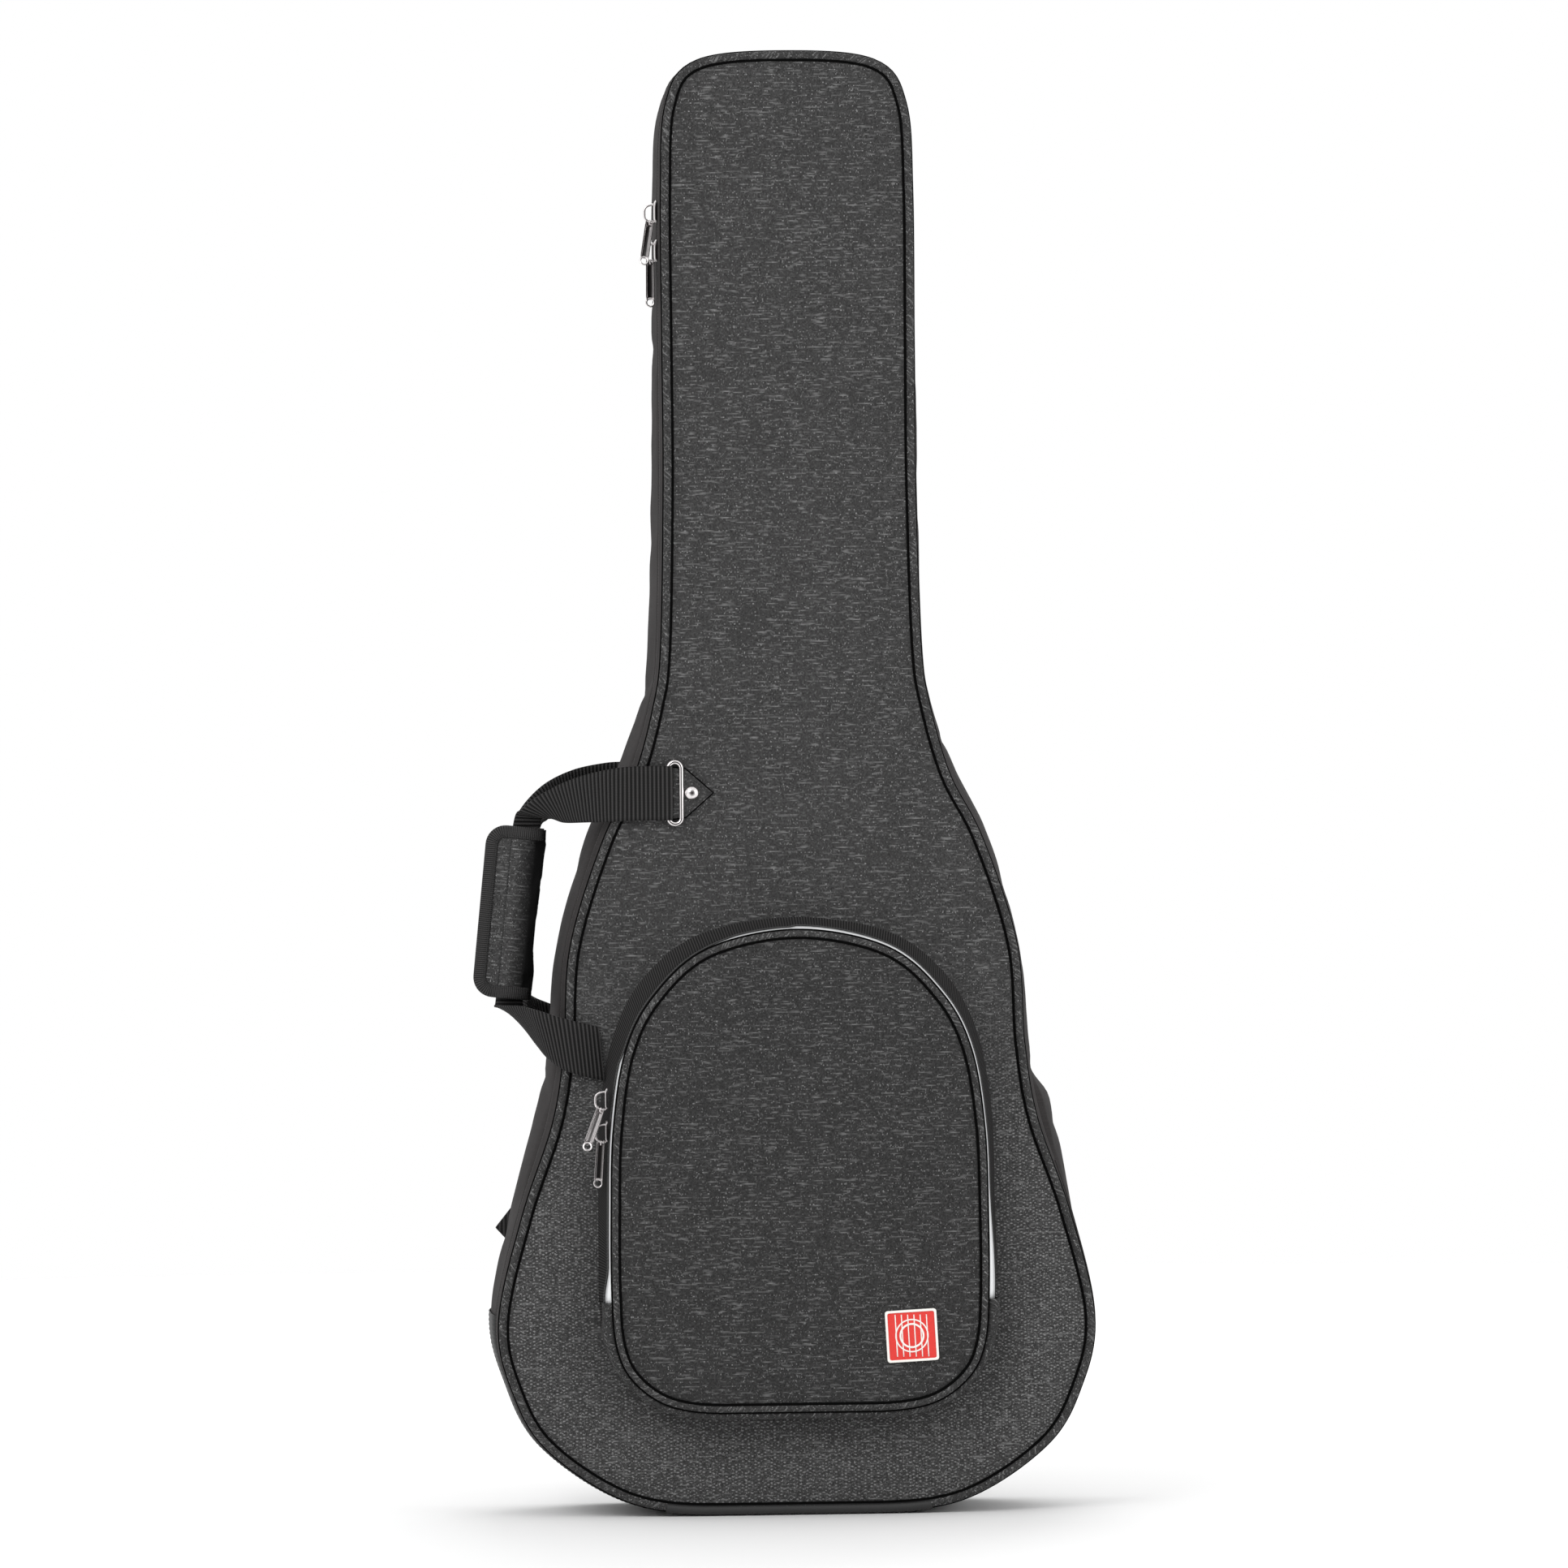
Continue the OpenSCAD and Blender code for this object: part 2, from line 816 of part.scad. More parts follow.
back_cover();
back_foam();
case_lining();
wall_cover();
wall_foam_left();
wall_foam_right();
back_piping();
bottom_guard();
case_zip();
neck_rest();
hang_loop();
strap_yoke();
rear_handle_tab();
rear_handle_ring();
rear_handle_rivet();
anchor_tabs();
anchor_rings();
front_cover();
front_foam();
lid_lining();
rim_cover();
rim_foam();
front_piping();
lid_zip();
rim_guard();
front_handle_tab();
front_handle_ring();
front_handle_rivet();
pocket_wall();
pocket_band();
pocket_lower_zip();
pocket_lower_front();
badge_frame();
badge_enamel();
pocket_cover();
pocket_foam();
pocket_piping();
pocket_upper_zip();
reflective_strip();
front_webbing();
grip_pad();
grip_binding();
rear_webbing();
upper_slider();
upper_pull();
lower_slider();
lower_pull();
pocket_slider_a();
pocket_pull_a();
pocket_slider_b();
pocket_pull_b();
strap_pad(-1);  // strap_pad_left
strap_webbing(-1);  // strap_webbing_left
strap_buckle(-1);  // strap_buckle_left
strap_hook(-1);  // strap_hook_left
strap_pad(1);  // strap_pad_right
strap_webbing(1);  // strap_webbing_right
strap_buckle(1);  // strap_buckle_right
strap_hook(1);  // strap_hook_right
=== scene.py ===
"""Looks of the padded guitar gig bag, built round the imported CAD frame.

Shapes are worked out in millimetres in the part's own frame and turned into metres when a
mesh is made. Every fabric reads a UV map named cloth, which holds metres along and across
the weave, so the weave stays at its real size and moves with its piece.
"""

import math

import bmesh
import bpy
import numpy as np
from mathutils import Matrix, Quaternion, Vector, noise


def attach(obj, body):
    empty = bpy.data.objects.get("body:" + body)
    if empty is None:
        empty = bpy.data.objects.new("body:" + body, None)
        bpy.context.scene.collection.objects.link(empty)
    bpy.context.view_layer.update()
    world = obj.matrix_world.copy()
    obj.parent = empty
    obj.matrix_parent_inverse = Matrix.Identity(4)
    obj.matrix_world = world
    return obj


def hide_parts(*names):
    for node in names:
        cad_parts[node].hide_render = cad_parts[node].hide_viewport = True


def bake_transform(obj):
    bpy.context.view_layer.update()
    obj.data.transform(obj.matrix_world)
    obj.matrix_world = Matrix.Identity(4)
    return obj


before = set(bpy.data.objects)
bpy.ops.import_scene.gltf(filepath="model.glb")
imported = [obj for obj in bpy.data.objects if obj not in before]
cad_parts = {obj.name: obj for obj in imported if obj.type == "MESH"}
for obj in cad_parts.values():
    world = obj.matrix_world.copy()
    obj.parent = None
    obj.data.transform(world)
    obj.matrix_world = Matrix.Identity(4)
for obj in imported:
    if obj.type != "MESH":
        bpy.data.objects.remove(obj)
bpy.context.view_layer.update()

MM = 0.001
FRONT_Y = -72.0
BACK_Y = 74.0
NECK_BACK_Y = 48.0
PARTING_Y = -50.0
POCKET_Y = -112.0
POCKET_ZIP_Y = -95.0

# ---- Outlines, as in the CAD: right halves from the base to the top centre ----------------------

WALL_HALF = [(55, 2), (125, 9), (187, 50), (212, 97), (222, 146), (208, 221), (190, 289),
             (179, 340), (172, 415), (150, 497), (126, 547), (107, 600), (101, 640), (98, 760),
             (97, 860), (95, 980), (89, 1036), (70, 1070), (0, 1080)]
PANEL_HALF = [(50, 7.5), (120, 15), (179, 52), (204, 93), (214, 144), (196, 221), (173, 289),
              (164, 345), (159, 418), (135, 494), (111, 542), (96, 595), (90, 640), (87, 760),
              (87, 860), (87, 975), (83, 1038), (63, 1066), (0, 1072)]
POCKET_FOOT_HALF = [(55, 56), (98, 72), (129, 99), (143, 127), (147, 165), (147, 235),
                    (145, 300), (134, 358), (111, 400), (70, 430), (0, 441)]
POCKET_PANEL_HALF = [(55, 83), (94, 88), (119, 105), (130, 128), (133, 165), (133, 225),
                     (131, 285), (122, 341), (102, 380), (64, 413), (0, 426)]


def level_end(p, q):
    return 2 * p[0] - q[0], q[1]


def steps_along(half, spacing):
    """How many points go on each stretch of an outline, its flat base first."""
    lengths = [half[0][0]] + [math.dist(p, q) for p, q in zip(half, half[1:])]
    return [max(2, round(length / spacing)) for length in lengths]


def between(a, b, c, d, t):
    """A place on the smooth curve from b to c that also heeds its neighbours a and d."""
    return 0.5 * (2 * b + (c - a) * t + (2 * a - 5 * b + 4 * c - d) * t ** 2
                  + (3 * b - a - 3 * c + d) * t ** 3)


def outline(half, steps):
    """Whole closed outline, anticlockwise from the base centre, as an array of [x, z]."""
    known = [level_end(half[0], half[1]), *half, level_end(half[-1], half[-2])]
    known = [np.array(p, float) for p in known]
    right = [np.array([half[0][0] * k / steps[0], half[0][1]]) for k in range(steps[0])]
    for i, count in enumerate(steps[1:]):
        right += [between(*known[i:i + 4], t) for t in np.arange(count) / count]
    right.append(known[-2])
    left = [p * [-1, 1] for p in right[-2:0:-1]]
    return np.array(right + left)


def unit(rows):
    """Each row scaled to a length of one."""
    return rows / np.linalg.norm(rows, axis=-1, keepdims=True)


def run_along(path):
    """How far along a path each of its points is."""
    return np.append(0, np.cumsum(np.linalg.norm(np.diff(path, axis=0), axis=1)))


def outset(path, distance):
    """Each point moved square to the outline, outwards."""
    along = unit(np.roll(path, -1, 0) - np.roll(path, 1, 0))
    normal = np.stack([along[:, 1], -along[:, 0]], 1)
    return path + np.broadcast_to(distance, len(path))[:, None] * normal


def mix(a, b, share):
    return a * (1 - share) + b * share


def smooth_step(low, high, value):
    t = np.clip((value - low) / (high - low), 0, 1)
    return t * t * (3 - 2 * t)


def at_depth(path, y):
    """A flat outline placed at a depth, as an array of [x, y, z]."""
    return np.stack([path[:, 0], np.broadcast_to(y, len(path)), path[:, 1]], 1)


def back_face(z):
    """Depth of the back cloth at a height, with its two corners eased."""
    near = [np.interp(z + shift, [640, 760], [BACK_Y, NECK_BACK_Y]) for shift in (-18, 0, 18)]
    return np.mean(near, axis=0)


OUTLINE_SPACING = 5
PIPING_WIDTH = 5
# How far from the front panel's edge out to the wall the zip's parting lies
PARTING_SHARE = 0.31

bag_steps = steps_along(WALL_HALF, OUTLINE_SPACING)
wall = outline(WALL_HALF, bag_steps)
seam = outline(PANEL_HALF, bag_steps)
edge = outset(seam, PIPING_WIDTH)
parting = mix(edge, wall, PARTING_SHARE)
pocket_steps = steps_along(POCKET_FOOT_HALF, OUTLINE_SPACING)
pocket_foot = outline(POCKET_FOOT_HALF, pocket_steps)
pocket_seam = outline(POCKET_PANEL_HALF, pocket_steps)

# ---- Materials ----------------------------------------------------------------------------------


class Shader:
    """One material's node tree, with short calls for the nodes that fabrics share."""

    def __init__(self, name, color, roughness, metallic=0.0, sheen=0.0, specular=0.5):
        self.material = bpy.data.materials.new(name)
        self.material.use_nodes = True
        self.tree = self.material.node_tree
        self.surface = self.tree.nodes["Principled BSDF"].inputs
        self.fill(self.surface, {"Base Color": (*color, 1), "Roughness": roughness,
                                 "Metallic": metallic, "Sheen Weight": sheen,
                                 "Sheen Roughness": 0.5, "Specular IOR Level": specular})

    def fill(self, sockets, values):
        """Links each socket to another node's output, or sets it to a plain value."""
        for key, value in values.items():
            if isinstance(value, bpy.types.NodeSocket):
                self.tree.links.new(value, sockets[key])
            else:
                sockets[key].default_value = value

    def node(self, kind, values, **settings):
        """The outputs of a new node, with its settings and its inputs filled in."""
        made = self.tree.nodes.new("ShaderNode" + kind)
        for key, value in settings.items():
            setattr(made, key, value)
        self.fill(made.inputs, values)
        return made.outputs

    def math(self, operation, a, b=0.0):
        return self.node("Math", {0: a, 1: b}, operation=operation)[0]

    def times(self, a, b):
        return self.math("MULTIPLY", a, b)

    def shares(self, a, share_a, b, share_b):
        """Two values added together, each times its share."""
        return self.math("ADD", self.times(a, share_a), self.times(b, share_b))

    def weave(self, scale_u, scale_v, turn=0.0):
        """Weave coordinates in millimetres, turned and then scaled."""
        uv = self.node("UVMap", {}, uv_map="cloth")[0]
        turned = self.node("Mapping", {"Vector": uv, "Rotation": (0, 0, turn)})[0]
        scale = (1000 * scale_u, 1000 * scale_v, 1)
        return self.node("Mapping", {"Vector": turned, "Scale": scale})[0]

    def split(self, vector):
        """The X, Y and Z outputs of a vector."""
        return self.node("SeparateXYZ", {0: vector})

    def on_object(self, x, y, z):
        """Object coordinates, in metres, scaled."""
        coords = self.node("TexCoord", {})["Object"]
        return self.node("Mapping", {"Vector": coords, "Scale": (x, y, z)})[0]

    def yarns(self, vector, seed):
        """The same coordinates with each whole step of v made a yarn of its own."""
        u, v, _ = self.split(vector)
        row = self.math("FLOOR", v)
        shifted = self.math("ADD", u, self.times(row, 7.13))
        return self.node("CombineXYZ", {0: shifted, 1: self.times(row, 3.71), 2: seed})[0]

    def noise(self, vector, detail=2.0, low=0.0, high=1.0):
        """Noise, stretched so that low to high becomes 0 to 1."""
        grain = self.node("TexNoise", {"Scale": 1, "Detail": detail, "Vector": vector})[0]
        return self.stretch(grain, low, high)

    def stretch(self, value, low, high, out_low=0.0, out_high=1.0):
        return self.node("MapRange", {"Value": value, "From Min": low, "From Max": high,
                                      "To Min": out_low, "To Max": out_high})[0]

    def stripes(self, vector, along_v=False, diagonal=False):
        """A smooth stripe, once for each whole step of u, of v or of both together."""
        u, v, _ = self.split(vector)
        value = v if along_v else u
        if diagonal:
            value = self.math("ADD", u, v)
        return self.stretch(self.math("SINE", self.times(value, 2 * math.pi)), -1, 1)

    def blend(self, share, *colors):
        """One colour to the other, each an output or a plain colour."""
        a, b = (c if isinstance(c, bpy.types.NodeSocket) else (*c, 1) for c in colors)
        return self.node("Mix", {0: share, 6: a, 7: b}, data_type="RGBA")[2]

    def finish(self, color, height, bump_mm, roughness):
        """Links the colour, roughness and bump, and gives back the finished material."""
        bump = self.node("Bump", {"Strength": 1.0, "Distance": bump_mm * MM, "Height": height})[0]
        self.fill(self.surface, {"Normal": bump, "Base Color": color, "Roughness": roughness})
        return self.material


def grey(level, warmth=0.0):
    """A grey of a level, made warmer by taking a share of its green and blue away."""
    return level, level * (1 - warmth), level * (1 - warmth)


def heather(name, dark, light, slub, speckle=0.0, turn=0.0, birdseye=None, shaded=None):
    """Twill of dark yarn with light slubs: long dashes along u and short bright specks.

    birdseye is the heights in metres between which rows of bright dots fade in. shaded is
    the places across the weave, in millimetres, between which painted shade darkens the
    cloth to near black, where the grip's side turns away from the light."""
    dark, light, slub = grey(dark, 0.01), grey(light, 0.01), grey(slub)
    shader = Shader(name, dark, 0.88, sheen=0.02, specular=0.06)
    twill = shader.stripes(shader.weave(0.8, 0.8, turn), diagonal=True)
    grain, dashes, specks = (
        shader.noise(shader.yarns(shader.weave(pitch, 1.15, turn), seed), detail, low, high)
        for pitch, seed, detail, low, high in ((0.75, 4.0, 1.0, 0.28, 0.72),
                                               (0.11, 1.0, 1.0, 0.56, 0.80),
                                               (0.85, 9.0, 0.0, 0.68 - speckle, 0.82)))
    shade = shader.noise(shader.weave(0.02, 0.03, turn), 3.0, 0.25, 0.75)
    ground = shader.times(shader.shares(twill, 0.22, grain, 0.78),
                          shader.stretch(shade, 0, 1, 0.82, 1.08))
    light_yarn = shader.math("MAXIMUM", shader.times(dashes, 0.7), specks)
    if birdseye:
        drift = shader.noise(shader.weave(0.012, 0.012), 2.0, 0.0, 1.0)
        height = shader.math("ADD", shader.split(shader.weave(0.001, 0.001))[1],
                             shader.times(drift, 0.10))
        zone = shader.stretch(height, *birdseye, 1.0, 0.0)
        row = shader.stripes(shader.weave(0.21, 0.40), diagonal=True)
        column = shader.stripes(shader.weave(0.21, -0.40), diagonal=True)
        broken = shader.noise(shader.weave(0.42, 0.62), 1.0, 0.46, 0.60)
        crossings = shader.math("POWER", shader.times(row, column), 1.2)
        dots = shader.times(crossings, shader.times(broken, zone))
        light_yarn = shader.math("MAXIMUM", light_yarn, shader.times(dots, 1.3))
    color = shader.blend(light_yarn, shader.blend(ground, dark, light), slub)
    # Painted shade: the colour darkens to near black across the weave, standing in for the grip's
    # unlit side
    if shaded:
        across = shader.split(shader.weave(1, 1))[1]
        color = shader.blend(shader.stretch(across, *shaded), color, grey(0.004))
    height = shader.shares(twill, 0.6, light_yarn, 0.5)
    return shader.finish(color, height, 0.16, shader.stretch(light_yarn, 0, 1, 0.9, 0.75))


def plain_cloth(name, dark, light, warmth=0.09, period=0.9):
    """Smooth tight weave with faint streaks."""
    dark, light = grey(dark, warmth), grey(light, warmth)
    shader = Shader(name, dark, 0.85, sheen=0.02, specular=0.08)
    weave = shader.weave(1 / period, 1 / period)
    ribs = shader.stripes(weave, along_v=True)
    crossing = shader.stripes(weave)
    streaks = shader.noise(shader.weave(0.9, 0.06), 2.0, 0.3, 0.7)
    shade = shader.noise(shader.weave(0.015, 0.02), 3.0, 0.25, 0.75)
    height = shader.shares(ribs, 0.5, crossing, 0.5)
    color = shader.blend(shader.shares(streaks, 0.5, shade, 0.5), dark, light)
    return shader.finish(color, height, 0.1, shader.stretch(streaks, 0, 1, 0.72, 0.88))


def webbing_cloth(name, dark, light, pitch=3.1, warmth=0.03):
    """Black narrow weave: thick ribs across the webbing, each a row of small beads."""
    dark, light = grey(dark, warmth), grey(light, warmth)
    shader = Shader(name, dark, 0.62, sheen=0.01, specular=0.12)
    ribs = shader.stripes(shader.weave(1 / pitch, 0.2))
    beads = shader.stripes(shader.weave(0.2, 0.8), along_v=True)
    fuzz = shader.noise(shader.weave(1.4, 1.4), 2.0, 0.3, 0.75)
    tops = shader.math("POWER", ribs, 1.4)
    grain = shader.stretch(shader.math("ADD", beads, fuzz), 0, 2, 0.55, 1.15)
    share = shader.times(tops, grain)
    height = shader.shares(share, 0.7, beads, 0.3)
    color = shader.blend(share, dark, light)
    return shader.finish(color, height, 0.25, shader.stretch(fuzz, 0, 1, 0.5, 0.72))


def metal(name, color, reflection_dark, roughness, dark_from):
    """Plating with faint scratches, with painted dark reflection: it darkens where it faces the
    front or back squarely.
    """
    shader = Shader(name, color, roughness, metallic=1.0)
    # Painted reflection: faces square to the front or back take a dark tone in place of the
    # reflected room
    facing = shader.math("ABSOLUTE", shader.split(shader.node("TexCoord", {})["Normal"])[1])
    scratches = shader.noise(shader.on_object(900, 900, 60), 3.0, 0.35, 0.75)
    rough = shader.stretch(scratches, 0, 1, roughness * 0.7, roughness * 1.8)
    dark = shader.stretch(facing, dark_from, mix(dark_from, 1, 0.9))
    plating = shader.blend(scratches, color, tuple(c * 0.8 for c in color))
    tone = shader.blend(dark, plating, reflection_dark)
    return shader.finish(tone, scratches, 0.01, rough)


def moulded(name, color, roughness, speckle=0.4, specular=0.5):
    """Moulded plastic, rubber or enamel: a fine grain in its gloss and surface."""
    shader = Shader(name, color, roughness, specular=specular)
    grain = shader.noise(shader.on_object(1100, 1100, 1100), 2.0, 0.3, 0.7)
    rough = shader.stretch(grain, 0, 1, roughness, min(1.0, roughness + 0.15))
    tone = shader.blend(shader.times(grain, speckle), color, tuple(c * 1.6 for c in color))
    return shader.finish(tone, grain, 0.03, rough)


HEATHER = heather("heather", 0.018, 0.066, 0.22, birdseye=(0.33, 0.46))
HEATHER_POCKET = heather("heather_pocket", 0.014, 0.052, 0.19, 0.01)
HEATHER_PIPING = heather("heather_piping", 0.016, 0.062, 0.23, 0.03, turn=math.radians(52))
# The grip's cloth carries painted shade on its far side, from 1 to 15 mm across the weave
HEATHER_GRIP = heather("heather_grip", 0.020, 0.072, 0.24, turn=math.radians(90), shaded=(1, 15))
SIDE_CLOTH = plain_cloth("side_cloth", 0.016, 0.044)
LINING = plain_cloth("lining", 0.016, 0.036, 0.0, 0.6)
BLACK_WEBBING = webbing_cloth("black_webbing", 0.003, 0.050)
BINDING = webbing_cloth("binding", 0.008, 0.058, 1.5)
ZIP_TAPE = webbing_cloth("zip_tape", 0.005, 0.020, 1.6)
RIBBED_TAPE = webbing_cloth("ribbed_tape", 0.006, 0.050, 2.0)
AIR_MESH = webbing_cloth("air_mesh", 0.006, 0.046, 2.6)
ZIP_COIL = moulded("zip_coil", grey(0.045), 0.35)
THREAD = moulded("thread", grey(0.010), 0.6)
RUBBER = moulded("guard_rubber", grey(0.014), 0.55)
ACETAL = moulded("black_acetal", grey(0.008), 0.4)
REFLECTIVE = moulded("reflective_tape", (0.78, 0.79, 0.80), 0.35, 0.1)
# Both nickels carry painted dark reflection on faces square to the front and back; the shaded copy,
# on shields and pull channels, paints it darker and over more of each face
NICKEL = metal("nickel", grey(0.86, 0.04), grey(0.05, 0.1), 0.16, 0.94)
SHADED_NICKEL = metal("shaded_nickel", grey(0.92, 0.04), grey(0.012, 0.1), 0.2, 0.62)
# Painted shadow: near-black tubes in the gaps beside the piping and round the handle tabs stand in
# for shade
SEAM_SHADOW = moulded("seam_shadow", grey(0.0025), 0.95, 0.2, specular=0.02)
BADGE_WHITE = moulded("badge_white", (0.80, 0.78, 0.74), 0.3, 0.1)
BADGE_RED = moulded("badge_red", (0.62, 0.022, 0.014), 0.28, 0.2)

# ---- Mesh makers --------------------------------------------------------------------------------


def show(name, mesh, material, uv=None):
    """A mesh as a smooth object; uv is in metres, with one pair for each face corner."""
    mesh.materials.append(material)
    if uv is not None:
        layer = mesh.uv_layers.new(name="cloth")
        layer.data.foreach_set("uv", uv.ravel().astype(np.float32))
    mesh.shade_smooth()
    obj = bpy.data.objects.new(name, mesh)
    bpy.context.scene.collection.objects.link(obj)
    return obj


def make_mesh(name, points, faces):
    """A mesh from points in millimetres."""
    mesh = bpy.data.meshes.new(name)
    mesh.from_pydata((points * MM).tolist(), [], faces.tolist())
    return mesh


def measured_uv(points, wrap_rows, wrap_cols):
    """Distances along the rows and columns of a grid, for a weave of even size."""
    if wrap_rows:
        points = np.concatenate([points, points[:1]])
    if wrap_cols:
        points = np.concatenate([points, points[:, :1]], 1)
    across = np.linalg.norm(np.diff(points, axis=0), axis=2).mean(1)
    along = np.linalg.norm(np.diff(points, axis=1), axis=2).mean(0)
    u, v = np.meshgrid(np.append(0, np.cumsum(along)), np.append(0, np.cumsum(across)))
    return np.stack([u, v], 2)


def surface(name, points, material, wrap_rows=False, wrap_cols=False, uv=None, merge=False,
            cap=False, thick=0.0):
    """A grid of points as a smooth surface, closed round its rows or columns if asked."""
    rows, cols = points.shape[:2]
    r = np.arange(rows if wrap_rows else rows - 1)
    c = np.arange(cols if wrap_cols else cols - 1)
    i, j = np.meshgrid(r, c, indexing="ij")
    corners = [(i, j), (i, j + 1), (i + 1, j + 1), (i + 1, j)]
    faces = np.stack([(a % rows) * cols + b % cols for a, b in corners], -1).reshape(-1, 4)
    if uv is None:
        uv = measured_uv(points, wrap_rows, wrap_cols)
    loops = np.stack([uv[a % len(uv), b % len(uv[0])] for a, b in corners], -2).reshape(-1, 2)
    obj = show(name, make_mesh(name, points.reshape(-1, 3), faces), material, loops * MM)
    if merge or cap:
        close_up(obj, merge)
    if thick:
        solid = obj.modifiers.new("thickness", "SOLIDIFY")
        solid.thickness = thick * MM
        solid.offset = 0
    return obj


def close_up(obj, merge):
    """Merges points that coincide, or else caps open ends, and turns the faces outwards."""
    work = bmesh.new()
    work.from_mesh(obj.data)
    if merge:
        bmesh.ops.remove_doubles(work, verts=work.verts, dist=0.02 * MM)
        bmesh.ops.dissolve_degenerate(work, edges=work.edges, dist=0.01 * MM)
    else:
        bmesh.ops.holes_fill(work, edges=[e for e in work.edges if e.is_boundary], sides=0)
    bmesh.ops.recalc_face_normals(work, faces=work.faces)
    work.to_mesh(obj.data)
    work.free()


def path_frames(path, closed):
    """Tangent, side and up vectors along a path, turning as little as they can."""
    ahead = np.roll(path, -1, 0)
    behind = np.roll(path, 1, 0)
    if not closed:
        ahead[-1] = path[-1]
        behind[0] = path[0]
    tangent = unit(ahead - behind)
    side = np.zeros_like(path)
    first = np.cross(tangent[0], [0, 1, 0])
    if np.linalg.norm(first) < 0.1:
        first = np.cross(tangent[0], [1, 0, 0])
    side[0] = unit(first)
    for k in range(1, len(path)):
        side[k] = unit(side[k - 1] - tangent[k] * (side[k - 1] @ tangent[k]))
    return tangent, side, np.cross(tangent, side)


def tube(name, path, radius, material, closed=False, sides=12, flat=1.0):
    """A round cord along a path. flat squeezes its section in the second direction."""
    path = np.asarray(path, float)
    _, side, up = path_frames(path, closed)
    turn = 2 * math.pi * np.arange(sides) / sides
    radius = np.broadcast_to(radius, len(path))[:, None, None]
    points = (path[:, None] + radius * (np.cos(turn)[None, :, None] * side[:, None]
                                        + flat * np.sin(turn)[None, :, None] * up[:, None]))
    return surface(name, points.transpose(1, 0, 2), material, wrap_rows=True, wrap_cols=closed,
                   cap=not closed)


def curve_through(points, spacing):
    """A smooth open curve through rows of numbers, about one point each spacing."""
    points = np.asarray(points, float)
    known = np.vstack([2 * points[0] - points[1], points, 2 * points[-1] - points[-2]])
    out = []
    for a, b, c, d in zip(known, known[1:], known[2:], known[3:]):
        count = max(2, round(np.linalg.norm((c - b)[:3]) / spacing))
        out += [between(a, b, c, d, t) for t in np.arange(count) / count]
    out.append(points[-1])
    return np.array(out)


def resample(path, pitch, closed=False):
    """Places along a path each pitch, with the direction of the path there."""
    if closed:
        path = np.vstack([path, path[:1]])
    length = run_along(path)
    count = max(2, round(length[-1] / pitch))
    at = (np.arange(count) + 0.5) * length[-1] / count
    behind, place, ahead = (np.stack([np.interp(at + shift, length, line) for line in path.T], 1)
                            for shift in (-0.5, 0, 0.5))
    return place, unit(ahead - behind)


def blocks(name, centres, along, out, size, material, taper=0.6):
    """Many small blocks in one mesh, such as teeth or stitches; each stands out from out."""
    length, width, height = size
    across = unit(np.cross(out, along))
    points = []
    for level, share in ((0, 1), (0.6, 1), (1, taper)):
        for a, b in ((-1, -1), (1, -1), (1, 1), (-1, 1)):
            points.append(centres + along * (a * share * length / 2)
                          + across * (b * share * width / 2) + out * (level * height))
    points = np.stack(points, 1)
    count = len(centres)
    pattern = [[3, 2, 1, 0], [8, 9, 10, 11]]
    for level in (0, 4):
        pattern += [[level + k, level + (k + 1) % 4, level + 4 + (k + 1) % 4, level + 4 + k]
                    for k in range(4)]
    faces = (np.array(pattern)[None] + 12 * np.arange(count)[:, None, None]).reshape(-1, 4)
    return show(name, make_mesh(name, points.reshape(-1, 3), faces), material)


def polyline(corners, count):
    """Even points along straight lines from corner to corner."""
    corners = np.asarray(corners, float)
    return np.vstack([np.linspace(a, b, count, endpoint=False)
                      for a, b in zip(corners, corners[1:])])


def stitches(name, path, out, pitch=3.4, width=0.6):
    """A row of thread stitches along a path that lies on a cloth."""
    place, along = resample(np.asarray(path, float), pitch)
    out = np.broadcast_to(np.asarray(out, float), place.shape)
    return blocks(name, place, along, out, (pitch * 0.68, width, 0.35), THREAD)


def circle(centre, radius, count=48):
    """A closed round path in a plane square to Y."""
    turn = 2 * math.pi * np.arange(count) / count
    return np.array(centre) + radius * np.stack([np.cos(turn), 0 * turn, np.sin(turn)], 1)


def lathe(name, profile, centre, axis, material, sides=40):
    """A turned shape: profile is [radius, height] pairs along a level axis from the centre."""
    axis = np.array(axis, float)
    side = unit(np.cross(axis, [0, 0, 1]))
    up = np.cross(axis, side)
    turn = 2 * math.pi * np.arange(sides) / sides
    round_ = np.cos(turn)[:, None] * side + np.sin(turn)[:, None] * up
    points = np.array([np.array(centre) + h * axis + r * round_ for r, h in profile])
    return surface(name, points, material, wrap_cols=True, cap=True)


